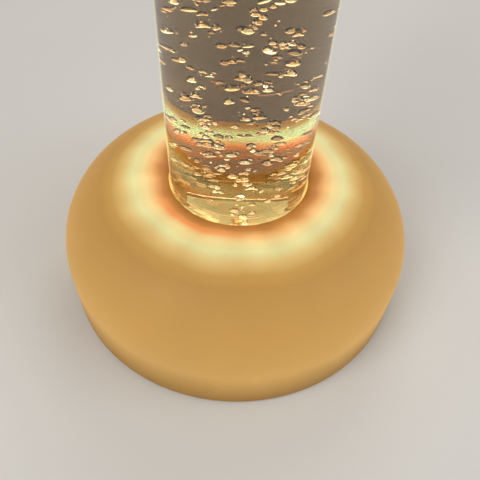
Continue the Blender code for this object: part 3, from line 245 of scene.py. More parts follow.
def prism(outline, low, high, place=None):
    """A helper solid between two heights, from an outline of (x, y), set by a matrix."""
    shape = bmesh.new()
    lower = [shape.verts.new((x, y, low)) for x, y in outline]
    upper = [shape.verts.new((x, y, high)) for x, y in outline]
    shape.faces.new(reversed(lower))
    shape.faces.new(upper)
    for corner in range(len(outline)):
        after = (corner + 1) % len(outline)
        shape.faces.new((lower[corner], lower[after], upper[after], upper[corner]))
    if place is not None:
        shape.transform(place)
    return solid("helper", shape)


def combine(piece, helper, operation):
    """Joins a helper to a piece or cuts it away, and deletes the helper."""
    step = piece.modifiers.new("step", "BOOLEAN")
    step.operation = operation
    step.solver = "EXACT"
    step.object = helper
    graph = bpy.context.evaluated_depsgraph_get()
    made = bpy.data.meshes.new_from_object(piece.evaluated_get(graph))
    piece.modifiers.remove(step)
    piece.data = made
    bpy.data.objects.remove(helper)


# Materials

class Look:
    """The node tree of one material, with short calls that add and link its nodes."""

    def __init__(self, name):
        self.material = bpy.data.materials.new(name)
        self.material.use_nodes = True
        self.tree = self.material.node_tree
        self.tree.nodes.clear()
        self.output = self.tree.nodes.new("ShaderNodeOutputMaterial")

    def add(self, kind, links=None, values=None, **settings):
        """Adds a node, sets its settings and values, and links sockets into it."""
        made = self.tree.nodes.new("ShaderNode" + kind)
        for setting, value in settings.items():
            setattr(made, setting, value)
        for socket, value in (values or {}).items():
            made.inputs[socket].default_value = value
        for socket, source in (links or {}).items():
            self.tree.links.new(source, made.inputs[socket])
        return made

    def math(self, operation, first, second=None):
        """A Math node's result; numbers are set and sockets are linked."""
        made = self.tree.nodes.new("ShaderNodeMath")
        made.operation = operation
        for socket, value in enumerate((first, second)):
            if value is None:
                continue
            if isinstance(value, (int, float)):
                made.inputs[socket].default_value = value
            else:
                self.tree.links.new(value, made.inputs[socket])
        return made.outputs[0]

    def product(self, first, *factors):
        """Numbers multiplied one after the other."""
        result = first
        for factor in factors:
            result = self.math("MULTIPLY", result, factor)
        return result

    def apart(self, value, middle):
        """How far a number lies from another, on either side."""
        return self.math("ABSOLUTE", self.math("SUBTRACT", value, middle))

    def place(self):
        """Object coordinates, which are the frame's own metres."""
        return self.add("TexCoord").outputs["Object"]

    def axes(self):
        """The three coordinates of the place."""
        parts = self.add("SeparateXYZ", {"Vector": self.place()})
        return parts.outputs[0], parts.outputs[1], parts.outputs[2]

    def radius(self):
        """Distance from the lamp's axis."""
        x, y, z = self.axes()
        return self.math("SQRT", self.math("ADD", self.product(x, x), self.product(y, y)))

    def noise(self, scale, detail=3.0, rough=0.55, stretch=(1.0, 1.0, 1.0)):
        """Noise over the object's own coordinates, from 0 to 1."""
        mapping = self.add("Mapping", {"Vector": self.place()}, {"Scale": stretch})
        made = self.add(
            "TexNoise", {"Vector": mapping.outputs[0]},
            {"Scale": scale, "Detail": detail, "Roughness": rough},
        )
        return made.outputs["Fac"]

    def ramp(self, source, stops):
        """A colour ramp with stops of (place, colour)."""
        made = self.add("ValToRGB", {"Fac": source})
        band = made.color_ramp
        while len(band.elements) < len(stops):
            band.elements.new(1.0)
        for element, (position, colour) in zip(band.elements, stops):
            element.position = position
            element.color = (*colour, 1.0)
        return made.outputs["Color"]

    def span(self, source, low, high, to_low=0.0, to_high=1.0, smooth_step=False):
        """Maps a range of values onto another, clamped."""
        made = self.add(
            "MapRange", {"Value": source},
            {"From Min": low, "From Max": high, "To Min": to_low, "To Max": to_high},
        )
        if smooth_step:
            made.interpolation_type = "SMOOTHSTEP"
        return made.outputs["Result"]

    def mix(self, fac, first, second, blend="MIX"):
        """Mix of two colours; a tuple is set and a socket is linked."""
        made = self.add("Mix", data_type="RGBA", blend_type=blend)
        for socket, value in ((made.inputs[0], fac), (made.inputs[6], first), (made.inputs[7], second)):
            if isinstance(value, (int, float)):
                socket.default_value = value
            elif isinstance(value, tuple):
                socket.default_value = (*value, 1.0)
            else:
                self.tree.links.new(value, socket)
        return made.outputs[2]

    def bump(self, height, distance):
        """A bump normal from a height."""
        return self.add("Bump", {"Height": height}, {"Distance": distance}).outputs[0]

    def facing(self):
        """How far the surface turns from the eye, from 0 where it is met squarely to 1 at its edge."""
        return self.add("LayerWeight", values={"Blend": 0.5}).outputs["Facing"]

    def principled(self, links=None, values=None):
        """The main shader."""
        return self.add("BsdfPrincipled", links, values)

    def finish(self, shader, volume=None):
        """Links the shader, and a volume if there is one, to the output."""
        self.tree.links.new(shader.outputs[0], self.output.inputs["Surface"])
        if volume is not None:
            self.tree.links.new(volume.outputs[0], self.output.inputs["Volume"])
        return self.material


def display(red, green, blue):
    """A linear colour from the three values, 0 to 255, that it shows as, by the usual display curve."""
    channels = []
    for value in (red, green, blue):
        share = value / 255.0
        channels.append(share / 12.92 if share <= 0.04045 else ((share + 0.055) / 1.055) ** 2.4)
    return tuple(channels)


def lit(red, green, blue):
    """The light that the opal shell gives by itself where it shows these values in the studio."""
    shown = display(red, green, blue)
    return tuple(max(0.0, whole - share) for whole, share in zip(shown, studio_share))


def scaled(colour, factor):
    """A darker or a paler colour, at most white."""
    return tuple(min(1.0, channel * factor) for channel in colour)


def moulded(name, colour, roughness, glow=None):
    """Moulded plastic: spark-eroded grain, faint flow shades and worn sheen, and a painted glow where one is
    given.
    """
    look = Look(name)
    flow = look.span(look.noise(14.0, 4.0), 0.3, 0.7)
    fine = look.noise(900.0, 2.0)
    tint = look.mix(flow, scaled(colour, 0.88), colour)
    tint = look.mix(look.span(fine, 0.2, 0.8, 0.0, 0.25), tint, scaled(colour, 1.15))
    dull = look.span(look.noise(60.0, 5.0), 0.3, 0.7, roughness - 0.06, roughness + 0.07)
    links = {"Base Color": tint, "Roughness": dull, "Normal": look.bump(fine, 0.00012)}
    values = {"IOR": 1.49}
    # painted light: the glow stands for light that falls on the plastic, varied with its flow shades
    if glow is not None:
        links["Emission Color"] = look.mix(flow, scaled(glow, 0.8), glow)
        values["Emission Strength"] = 1.0
    return look.finish(look.principled(links, values))


def rubber(name, colour):
    """Soft black rubber: matt, with dust in its pores."""
    look = Look(name)
    fine = look.noise(700.0, 4.0, 0.7)
    dust = look.span(look.noise(120.0, 6.0, 0.7), 0.52, 0.75, 0.0, 0.35)
    tint = look.mix(dust, colour, (0.16, 0.15, 0.14))
    dull = look.span(fine, 0.3, 0.7, 0.72, 0.9)
    return look.finish(look.principled(
        {"Base Color": tint, "Roughness": dull, "Normal": look.bump(fine, 0.0002)}, {"IOR": 1.5}
    ))


def metal(name, colour, roughness):
    """Drawn or turned metal: fine tool lines, stains and worn sheen."""
    look = Look(name)
    lines = look.noise(420.0, 3.0, 0.6, (1.0, 1.0, 14.0))
    stains = look.span(look.noise(90.0, 5.0, 0.65), 0.55, 0.8, 0.0, 0.4)
    shaded = look.mix(look.span(lines, 0.3, 0.7), scaled(colour, 0.8), colour)
    tarnish = tuple(channel * stain * 2.4 for channel, stain in zip(colour, (0.25, 0.18, 0.12)))
    tint = look.mix(stains, shaded, tarnish)
    dull = look.span(lines, 0.3, 0.7, roughness - 0.07, roughness + 0.1)
    return look.finish(look.principled(
        {"Base Color": tint, "Roughness": dull, "Normal": look.bump(lines, 0.00006)},
        {"Metallic": 1.0},
    ))


def winding(name, colour):
    """Enamelled copper wire, wound in close turns, with painted shade between the turns."""
    look = Look(name)
    wire_pitch = 0.0006
    turns = look.math("SINE", look.product(look.axes()[1], 2.0 * math.pi / wire_pitch))
    # painted shade: dark lines in the grooves between the turns
    shaded = look.mix(look.span(turns, -1.0, 1.0), scaled(colour, 0.35), colour)
    stains = look.span(look.noise(200.0, 4.0), 0.5, 0.8, 0.0, 0.5)
    tint = look.mix(stains, shaded, scaled(colour, 0.6))
    return look.finish(look.principled(
        {"Base Color": tint, "Normal": look.bump(turns, 0.0002)},
        {"Metallic": 0.9, "Roughness": 0.32, "Coat Weight": 0.5},
    ))


def lit_board(name, board, glow):
    """A white circuit board: solder mask, copper pads and glowing light chips above it, with their light
    painted faintly on the board round them.
    """
    look = Look(name)
    colour = (0.80, 0.79, 0.74)
    chip_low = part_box(board)[0].z + chip_rise
    tracks = look.add(
        "TexBrick", {"Vector": look.place()},
        {"Scale": 90.0, "Mortar Size": 0.03, "Color1": (*colour, 1.0), "Color2": (*colour, 1.0),
         "Mortar": (*scaled(colour, 0.8), 1.0)},
    ).outputs["Color"]
    spots = look.span(look.noise(240.0, 3.0), 0.6, 0.7)
    tint = look.mix(look.product(spots, 0.3), tracks, (0.6, 0.5, 0.3))
    chips = look.span(look.axes()[2], chip_low, chip_low + 0.0002)
    glowing = look.product(chips, look.span(look.noise(500.0, 2.0), 0.2, 0.8, 0.75, 1.25))
    # painted light: the board round the chips glows faintly with their light
    shown = look.mix(glowing, scaled(glow, 0.12), glow)
    return look.finish(look.principled(
        {"Base Color": tint, "Emission Color": shown, "Normal": look.bump(look.noise(600.0), 0.00008)},
        {"Roughness": 0.4, "Emission Strength": 1.0},
    ))


def green_board(name, colour):
    """A green circuit board: tracks under the mask, and black and pale parts that stand on it."""
    look = Look(name)
    cells = look.add("TexVoronoi", {"Vector": look.place()}, {"Scale": 260.0}, feature="DISTANCE_TO_EDGE")
    tracks = look.span(cells.outputs["Distance"], 0.03, 0.08)
    mask = look.mix(tracks, scaled(colour, 1.9), colour)
    parts = look.span(look.axes()[2], control_board_top, control_board_top + 0.0003)
    kinds = look.span(look.noise(55.0, 1.0), 0.48, 0.52)
    part_tint = look.mix(kinds, (0.02, 0.02, 0.022), (0.55, 0.53, 0.48))
    tint = look.mix(parts, mask, part_tint)
    return look.finish(look.principled(
        {"Base Color": tint, "Normal": look.bump(tracks, 0.00005)}, {"Roughness": 0.35, "Coat Weight": 0.3}
    ))


def soft_tube(name, colour):
    """Milky silicone hose with faint extrusion lines."""
    look = Look(name)
    lines = look.noise(300.0, 3.0)
    tint = look.mix(look.span(lines, 0.3, 0.7), scaled(colour, 0.85), colour)
    dull = look.span(look.noise(90.0, 4.0), 0.3, 0.7, 0.28, 0.42)
    return look.finish(look.principled(
        {"Base Color": tint, "Roughness": dull, "Normal": look.bump(lines, 0.0001)},
        {"Subsurface Weight": 0.3, "Subsurface Scale": 0.002, "IOR": 1.41},
    ))


def pane_for_lamps(look, shader, passed):
    """A shader for the eye that is a plain pane for the rays of lamps."""
    pane = look.add("BsdfTransparent", values={"Color": (*passed, 1.0)})
    rays = look.add("LightPath")
    dim = look.math("MAXIMUM", rays.outputs["Is Shadow Ray"], rays.outputs["Is Diffuse Ray"])
    return look.add("MixShader", {0: dim, 1: shader.outputs[0], 2: pane.outputs[0]})


def see_through(look, index, tint, passed, links, values=None):
    """A clear piece that bends light by its index, with its own tint."""
    settings = {"Base Color": (*tint, 1.0), "Roughness": 0.0, "IOR": index, "Transmission Weight": 1.0}
    settings.update(values or {})
    return pane_for_lamps(look, look.principled(links, settings), passed)


def depth_tint(look, colour, density):
    """Colour that deepens with the way that light takes through a piece."""
    return look.add("VolumeAbsorption", values={"Color": (*colour, 1.0), "Density": density})


def acrylic(name, glow=None, tinted=False):
    """Clear cast acrylic: a faint warm tint and fine scratches, with painted light in the wall and a painted
    warm depth, each where asked for.
    """
    look = Look(name)
    scratches = look.noise(160.0, 5.0, 0.7, (1.0, 1.0, 0.08))
    links = {"Normal": look.bump(scratches, 0.000012)}
    values = {}
    if glow is not None:
        links["Emission Color"] = glow(look)
        values["Emission Strength"] = 1.0
    shader = see_through(look, acrylic_index, (0.985, 0.98, 0.95), (0.94, 0.95, 0.9), links, values)
    return look.finish(shader, depth_tint(look, (0.76, 0.60, 0.40), 18.0) if tinted else None)


def water_look(name):
    """Still water, tinted by the lamp's own warm light."""
    look = Look(name)
    ripples = look.noise(22.0, 2.0, 0.5, (1.0, 1.0, 0.5))
    links = {"Normal": look.bump(ripples, 0.00002)}
    shader = see_through(look, water_index, white, (0.9, 0.88, 0.78), links)
    return look.finish(shader, depth_tint(look, (0.66, 0.57, 0.42), 29.0))


# The light in the tube's wall

def streaks(look, inner):
    """Where short level streaks of light lie on the bore: one in each step of its height."""
    step, half_length_turns, half_width_share = 0.013, 0.034, 0.011
    x, y, z = look.axes()
    along = look.math("DIVIDE", z, step)
    line = look.math("FLOOR", along)
    chance = look.add("TexWhiteNoise", {"W": line}, noise_dimensions="1D").outputs["Color"]
    chances = look.add("SeparateColor", {"Color": chance})
    height = look.span(chances.outputs[0], 0.0, 1.0, 0.1, 0.9)
    off = look.apart(look.math("SUBTRACT", along, line), height)
    turn = look.math("DIVIDE", look.math("ARCTAN2", y, x), 2.0 * math.pi)
    start = look.math("ADD", chances.outputs[1], 1.0)
    beside = look.apart(look.math("FRACT", look.math("ADD", turn, start)), 0.5)
    length = look.product(look.math("ADD", chances.outputs[2], 0.3), half_length_turns)
    thin = look.math("LESS_THAN", off, half_width_share)
    return look.product(thin, look.math("LESS_THAN", beside, length), inner)


def edge_light(look, z, facing):
    """Painted light at the tube's two edges, brighter and dimmer in patches: pale above the base, and warm
    inside it.
    """
    change = 0.004
    edge = look.span(facing, 0.80, 0.93, smooth_step=True)
    # painted highlight: the edges' light varies in patches at random
    edge_patches = look.span(look.noise(26.0, 4.0, 0.7, (1.0, 1.0, 0.5)), 0.35, 0.65)
    above = look.span(z, crown_height, crown_height + change)
    pale = look.mix(edge_patches, display(100, 104, 70), display(176, 172, 118))
    warm = look.mix(edge_patches, display(96, 76, 42), display(142, 114, 64))
    return look.mix(edge, black, look.mix(above, warm, pale))


def low_light(look, z, facing, near_side):
    """The ring's light on the near wall, just above the base."""
    rise, unevenness = 0.024, 0.008
    height = look.math("ADD", z, look.product(look.noise(16.0, 2.0), unevenness))
    low = look.span(height, crown_height, crown_height + rise, 1.0, 0.0, smooth_step=True)
    low = look.product(low, look.span(facing, 0.35, 0.80, 1.0, 0.25), near_side)
    return look.mix(low, black, (0.28, 0.17, 0.07))


def mirrored_band(look, z, far_side):
    """Where the tube's floor mirrors the lit far wall."""
    fade_start, fade_end = crown_height + 0.030, crown_height + 0.045
    mirrored = look.math("GREATER_THAN", look.add("LightPath").outputs["Glossy Depth"], 0.5)
    above_lip = look.math("GREATER_THAN", z, crown_height - lip_drop)
    fading = look.span(z, fade_start, fade_end, 1.0, 0.0)
    return look.product(mirrored, above_lip, fading, far_side)


def tube_light(look):
    """Light led up the tube's wall: at its edges, in streaks, in thin lines and just above the base."""
    mirrored_colour = (1.55, 2.2, 1.6)
    lines = (
        (0.0030, 0.00030, display(255, 150, 96)),
        (0.0058, 0.00022, display(240, 190, 130)),
    )
    wall_middle = (tube_bore + tube_radius) / 2.0
    z = look.axes()[2]
    facing = look.facing()
    outer = look.math("GREATER_THAN", look.radius(), wall_middle)
    inner = look.math("LESS_THAN", look.radius(), wall_middle)
    front = look.math("SUBTRACT", 1.0, look.add("NewGeometry").outputs["Backfacing"])
    far_side = look.product(look.math("SUBTRACT", 1.0, outer), front)
    shown = look.mix(streaks(look, inner), edge_light(look, z, facing), display(255, 176, 112))
    shown = look.mix(mirrored_band(look, z, far_side), shown, mirrored_colour)
    broken = look.span(look.noise(24.0, 1.0, 0.5, (1.0, 1.0, 30.0)), 0.44, 0.56)
    for rise, half_width, colour in lines:
        thin = look.math("LESS_THAN", look.apart(z, crown_height + rise), half_width)
        shown = look.mix(look.product(thin, broken, inner), shown, colour)
    low = low_light(look, z, facing, look.product(outer, front))
    return look.mix(1.0, shown, low, "ADD")


# The light in the opal shell

def glow_way(look, lobes):
    """The way along the shell from its hole, bent round each light, and how far it lies past the peak."""
    unevenness = 0.012
    lobe_full, lobe_gone = 0.012, 0.045
    along = look.math("SUBTRACT", look.radius(), hole_radius)
    down = look.math("SUBTRACT", crown_height, look.axes()[2])
    uneven = look.product(look.math("SUBTRACT", look.noise(22.0, 2.0), 0.5), unevenness)
    way = look.math("ADD", look.math("ADD", along, down), uneven)
    past = look.math("SUBTRACT", way, glow_peak)
    near = look.span(look.math("ABSOLUTE", past), lobe_full, lobe_gone, 1.0, 0.0, smooth_step=True)
    near = look.product(near, look.span(past, -0.006, 0.008, 0.04, 0.08))
    patchy = look.product(near, look.span(look.noise(11.0, 1.0), 0.3, 0.7, 0.4, 1.5))
    narrow = look.math("SUBTRACT", 1.0, look.product(lobes, patchy))
    return look.math("ADD", look.product(past, narrow), glow_peak), past


def along_shell(look, way, stops):
    """A colour ramp with stops of (way from the hole's edge, colour)."""
    share = look.math("DIVIDE", way, glow_length)
    return look.ramp(share, [(place / glow_length, colour) for place, colour in stops])


def ring_of_light(look, way):
    """Dim in the lip, orange past it, pale over the lights, amber down the dome and dim at the foot."""
    lip, lip_edge, orange = lit(165, 110, 55), lit(205, 140, 75), lit(250, 190, 120)
    cream, pale, yellow = lit(250, 220, 150), lit(235, 225, 160), lit(225, 190, 120)
    amber, dome, side, foot = lit(200, 155, 85), lit(190, 145, 80), lit(210, 165, 95), lit(145, 110, 55)
    side_start = base_radius - hole_radius + crown_height - base_side_height
    return along_shell(look, way, (
        (0.0, lip), (0.010, lip_edge), (glow_peak - 0.014, orange), (glow_peak - 0.006, cream),
        (glow_peak + 0.006, pale), (glow_peak + 0.020, yellow), (glow_peak + 0.036, amber),
        (glow_peak + 0.054, dome), (side_start + 0.008, side), (glow_length, foot),
    ))


def orange_arcs(look, way, turn):
    """Where broken orange arcs edge the ring of light, with an unbroken one behind the tube."""
    arc_way, arc_full, arc_gone = 0.0158, 0.001, 0.0055
    unbroken_turn = math.radians(62.0)
    edge = look.span(look.apart(way, arc_way), arc_full, arc_gone, 1.0, 0.0)
    broken = look.span(look.noise(12.0, 1.0), 0.48, 0.62, 0.0, 0.64)
    whole = look.span(look.apart(turn, unbroken_turn), 0.15, 0.40, 0.8, 0.0)
    return look.product(edge, look.math("MAXIMUM", broken, whole))


def glow_level(look, past, lobes):
    """How bright the shell is: cloudy, grainy, dim in the rear recess and brighter over each light."""
    rear_start, recess_top, recess_mouth = 0.15, 0.055, 0.0015
    spot_full, spot_gone = 0.006, 0.026
    x, y, z = look.axes()
    clouds = look.span(look.noise(9.0, 4.0), 0.3, 0.7, 0.93, 1.05)
    grain = look.span(look.noise(1400.0, 1.0), 0.25, 0.75, 0.97, 1.03)
    floor = base_radius - recess_depth
    deep = look.span(look.radius(), floor, base_radius - recess_mouth, 0.42, 1.0)
    rear = look.math("GREATER_THAN", y, rear_start)
    behind = look.product(rear, look.math("LESS_THAN", z, recess_top))
    shade = look.math("ADD", 1.0, look.product(behind, look.math("SUBTRACT", deep, 1.0)))
    near = look.span(look.math("ABSOLUTE", past), spot_full, spot_gone, 1.0, 0.0)
    spots = look.span(look.noise(13.0, 1.0, 0.5, (1.0, 1.0, 0.5)), 0.3, 0.7, 0.01, 0.08)
    spotted = look.math("ADD", 1.0, look.product(near, lobes, spots))
    return look.product(clouds, grain, shade, spotted)


def through_water(look, way, shown):
    """The shell's light as the water and the floor's mirror pass it on, also from beneath the lip."""
    gains = (
        (0.000, (0.48, 0.62, 0.68)), (0.006, (0.36, 0.52, 0.57)), (0.010, (0.20, 0.37, 0.40)),
        (0.014, (0.35, 0.26, 0.18)), (0.020, (0.35, 0.38, 0.40)), (0.028, (0.34, 0.59, 0.95)),
        (0.046, (0.34, 0.59, 0.95)), (0.060, (0.28, 0.38, 0.42)), (0.090, (0.27, 0.34, 0.33)),
    )
    full_gain = (15.0, 15.0, 15.0)
    mirrored_gain = (3.6, 3.2, 2.4)
    under_lip, at_lip_edge = (4.5, 3.8, 2.8), (8.5, 8.2, 7.0)
    facing_down, dome_low, lip_reach = -0.3, 0.1, 0.085
    rays = look.add("LightPath")
    seen = rays.outputs["Is Transmission Ray"]
    mirrored = look.math("GREATER_THAN", rays.outputs["Glossy Depth"], 0.5)
    gain = look.mix(1.0, along_shell(look, way, gains), full_gain, "MULTIPLY")
    gain = look.mix(mirrored, gain, mirrored_gain)
    shown = look.mix(1.0, shown, look.mix(seen, white, gain), "MULTIPLY")
    radius = look.radius()
    normal = look.add("SeparateXYZ", {"Vector": look.add("NewGeometry").outputs["True Normal"]})
    down = look.math("LESS_THAN", normal.outputs[2], facing_down)
    high = look.math("GREATER_THAN", look.axes()[2], dome_low)
    beneath = look.product(down, high, look.math("LESS_THAN", radius, lip_reach), seen)
    at_edge = look.math("LESS_THAN", radius, hole_radius + lip_bevel)
    return look.mix(beneath, shown, look.mix(at_edge, under_lip, at_lip_edge))


def opal_glow(name):
    """Opal shell lit from inside: a ring of light round the tube that fades down the side."""
    look = Look(name)
    x, y, z = look.axes()
    turn = look.math("ARCTAN2", y, x)
    from_light = look.math("SUBTRACT", turn, math.radians(180.0 / ring_light_count))
    lobes = look.math("COSINE", look.product(from_light, ring_light_count))
    way, past = glow_way(look, lobes)
    shown = look.mix(orange_arcs(look, way, turn), ring_of_light(look, way), lit(255, 148, 84))
    shown = through_water(look, way, shown)
    level = glow_level(look, past, lobes)
    dull = look.span(look.noise(70.0, 5.0), 0.3, 0.7, 0.52, 0.62)
    fine = look.bump(look.noise(1100.0, 2.0), 0.00008)
    return look.finish(look.principled(
        {"Emission Color": shown, "Emission Strength": level, "Roughness": dull, "Normal": fine},
        {"Base Color": (*opal_colour, 1.0), "IOR": 1.45, "Specular IOR Level": 0.3},
    ))


# The looks of the bubbles

def bubble_look(name):
    """Air in water: a painted dark outline and a darker warm body above, and the lamp's light painted into
    the lower side.
    """
    look = Look(name)
    surface = look.add("NewGeometry")
    parts = look.add("SeparateXYZ", {"Vector": surface.outputs["Normal"]})
    behind = surface.outputs["Backfacing"]
    up = look.product(parts.outputs[2], look.span(behind, 0.0, 1.0, 1.0, -1.0))
    uneven = look.product(look.math("SUBTRACT", look.noise(420.0, 2.0), 0.5), 0.9)
    low = look.span(look.math("ADD", up, uneven), -0.05, -0.35, smooth_step=True)
    low = look.product(low, look.span(behind, 0.0, 1.0, 1.0, 0.30))
    glints = look.span(look.noise(520.0, 1.0), 0.66, 0.71)
    low = look.math("MAXIMUM", low, look.product(glints, 0.8))
    warm = look.span(look.noise(160.0, 1.0), 0.42, 0.62)
    light = look.mix(warm, display(255, 244, 205), display(255, 206, 150))
    glow = look.add("Emission", {"Color": light}, {"Strength": 4.2})
    # painted shade: the bubble's clear body is tinted darker and warm, as where the light from below does not
    # reach
    shaded_air = look.principled(values={
        "Base Color": (0.78, 0.68, 0.50, 1.0), "Roughness": 0.0, "IOR": 0.8, "Transmission Weight": 1.0,
    })
    # painted shade: a near-black outline where the surface turns away from the eye, shown above the painted
    # light of the lower side
    painted_dark_outline = look.add("BsdfDiffuse", values={"Color": (0.03, 0.018, 0.009, 1.0)})
    rim = look.span(look.facing(), 0.25, 0.55, 0.0, 0.97)
    top = look.add("MixShader", {0: rim, 1: shaded_air.outputs[0], 2: painted_dark_outline.outputs[0]})
    body = look.add("MixShader", {0: low, 1: top.outputs[0], 2: glow.outputs[0]})
    return look.finish(pane_for_lamps(look, body, (0.9, 0.9, 0.9)))


def speck_look(name):
    """Bubbles so small that they only show as sparks of the lamp's light."""
    look = Look(name)
    warm = look.span(look.noise(45.0, 1.0), 0.45, 0.60)
    light = look.mix(warm, display(240, 226, 180), display(255, 150, 100))
    level = look.span(look.noise(60.0, 1.0, 0.5, (1.0, 1.3, 1.0)), 0.40, 0.65, 0.2, 3.0)
    return look.finish(look.add("Emission", {"Color": light, "Strength": level}))


# The looks of the frame's pieces, by material, and of three pieces by name

looks = {
    "grey_plastic": moulded("grey_plastic_look", (0.30, 0.31, 0.32), 0.5),
    "white_plastic": moulded("white_plastic_look", (0.80, 0.78, 0.73), 0.42),
    "black_plastic": moulded("black_plastic_look", (0.03, 0.03, 0.032), 0.42),
    "black_rubber": rubber("black_rubber_look", (0.03, 0.03, 0.03)),
    "silicone": soft_tube("silicone_look", (0.82, 0.82, 0.77)),
    "steel": metal("steel_look", (0.62, 0.62, 0.60), 0.3),
    "brass": metal("brass_look", (0.78, 0.58, 0.26), 0.25),
    "copper": winding("copper_look", (0.72, 0.36, 0.18)),
    "green_board": green_board("green_board_look", (0.05, 0.22, 0.10)),
    "opal_plastic": opal_glow("opal_plastic_look"),
    "clear_acrylic": acrylic("clear_acrylic_look", tube_light),
    "water": water_look("water_look"),
}
own_looks = {
    "ring_light_board": lit_board("ring_board_look", "ring_light_board", (1.6, 1.2, 0.6)),
    "lamp_board": lit_board("lamp_board_look", "lamp_board", (1.8, 1.5, 0.8)),
    # painted light: the tube socket's white plastic is given a darker warm colour and a warm glow, as lit by
    # the lamp's light chips
    "tube_socket": moulded("socket_painted_glow_look", (0.36, 0.29, 0.17), 0.45, glow=(1.15, 0.64, 0.12)),
}

for name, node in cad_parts.items():
    for slot in node.material_slots:
        kind = slot.material.name.split(".")[0]
        slot.material = own_looks[name] if name in own_looks else looks[kind]


def dress(piece, slot, body, *nodes):
    """Gives a piece its look and its body, and hides the frame's nodes that it stands for."""
    if not piece.data.materials:
        piece.data.materials.append(looks[slot])
    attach(piece, body)
    if nodes:
        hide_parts(*nodes)


# The base shell

def shell_outline():
    """The shell's section: from the lip over the dome to the rim, and back along the inner side."""
    shoulder = (base_radius - crown_radius, crown_height - base_side_height)
    inner = (shoulder[0] - shell_wall, shoulder[1] - shell_wall)
    lip = (crown_radius - hole_radius, lip_drop)
    lip_low = crown_height - lip_drop - lip_thickness
    rim = (base_radius - shell_rim_round, shell_rim_height + shell_rim_round)
    outline = arc((crown_radius, crown_height - lip_drop), lip, 180.0, 90.0, steps=10)
    outline += arc((crown_radius, base_side_height), shoulder, 90.0, 0.0, steps=40)[1:]
    outline += arc(rim, (shell_rim_round, shell_rim_round), 0.0, -90.0, steps=6)
    outline.append((base_radius - shell_wall, shell_rim_height))
    outline += arc((crown_radius, base_side_height), inner, 0.0, 90.0, steps=16)
    outline.append((crown_radius - shell_wall / 2.0, lip_low))
    outline.append((hole_radius + lip_bevel, lip_low))
    return outline


def add_recess_block(piece):
    """A block inside the rear wall, which the recess is cut into."""
    reach = base_radius - shell_wall / 2.0
    floor = base_radius - recess_depth - recess_wall
    half_width = recess_width / 2.0 + recess_wall
    half_height = recess_height / 2.0 + recess_wall
    side = math.degrees(math.asin(half_width / reach))
    block = arc((0.0, 0.0), (reach, reach), 90.0 + side, 90.0 - side, steps=24)
    block += [(half_width, floor), (-half_width, floor)]
    combine(piece, prism(block, recess_middle - half_height, recess_middle + half_height), "UNION")


def add_bosses(piece):
    """The screw bosses inside the wall, each with its pilot hole."""
    reach = base_radius - shell_wall / 2.0
    boss = [(reach, boss_radius)]
    boss += arc((boss_circle, 0.0), (boss_radius, boss_radius), 90.0, 270.0, steps=12)
    boss.append((reach, -boss_radius))
    pilot = circle((boss_circle, 0.0), pilot_radius, sides=24)
    for angle in boss_angles:
        turn = Matrix.Rotation(math.radians(angle), 4, "Z")
        combine(piece, prism(boss, boss_low, boss_high, turn), "UNION")
        combine(piece, prism(pilot, boss_low - overrun, boss_low + pilot_length, turn), "DIFFERENCE")


def cut_recess(piece):
    """The recess, with the holes in its floor."""
    lying = Matrix.Rotation(math.radians(90.0), 4, "X")
    rear = Matrix.Translation((0.0, base_radius + overrun, recess_middle)) @ lying
    window = rounded_rectangle(recess_width, recess_height, recess_corner, steps=6)
    combine(piece, prism(window, 0.0, recess_depth + overrun, rear), "DIFFERENCE")
    through = recess_depth + recess_wall + 2.0 * overrun
    for offset, radius in panel_holes:
        hole = circle((offset, 0.0), radius, sides=48)
        combine(piece, prism(hole, recess_depth - overrun, through, rear), "DIFFERENCE")


def add_shell():
    """The opal shell in fine facets, with its bosses and its recess."""
    piece = lathe("opal_shell", shell_outline())
    add_recess_block(piece)
    add_bosses(piece)
    cut_recess(piece)
    smooth(piece)
    dress(piece, "opal_plastic", "lamp", "base_shell")


# The tube, its floor and the water

def add_tube():
    """The clear tube, with small bevels at the four edges of its section."""
    piece = lathe("clear_tube", [
        (tube_bore, tube_low + tube_edge), (tube_bore + tube_edge, tube_low),
        (tube_radius - tube_edge, tube_low), (tube_radius, tube_low + tube_edge),
        (tube_radius, tube_high - tube_edge), (tube_radius - tube_edge, tube_high),
        (tube_bore + tube_edge, tube_high), (tube_bore, tube_high - tube_edge),
    ])
    dress(piece, "clear_acrylic", "lamp", "tube")


def add_floor():
    """The tube's thick clear floor."""
    radius = tube_bore + overlap
    outline = [(0.0, floor_low), (radius, floor_low), (radius, floor_high), (0.0, floor_high)]
    piece = lathe("clear_floor", outline, closed=False)
    # painted light: the floor's deep amber tint stands for the lamp's warm light in it, as in the water
    piece.data.materials.append(acrylic("clear_floor_look", tinted=True))
    dress(piece, "clear_acrylic", "lamp", "tube_floor")


def add_water():
    """The water, which climbs the bore a little at its edge."""
    radius = tube_bore + overlap
    low, high = floor_high - overlap, water_high + meniscus_height
    outline = [(0.0, low), (radius, low), (radius, high)]
    outline += arc(
        (tube_bore - meniscus_width, high), (meniscus_width, meniscus_height), 0.0, -90.0, steps=6
    )
    outline.append((0.0, water_high))
    dress(lathe("water_column", outline, closed=False), "water", "lamp", "water")


# The button's spring

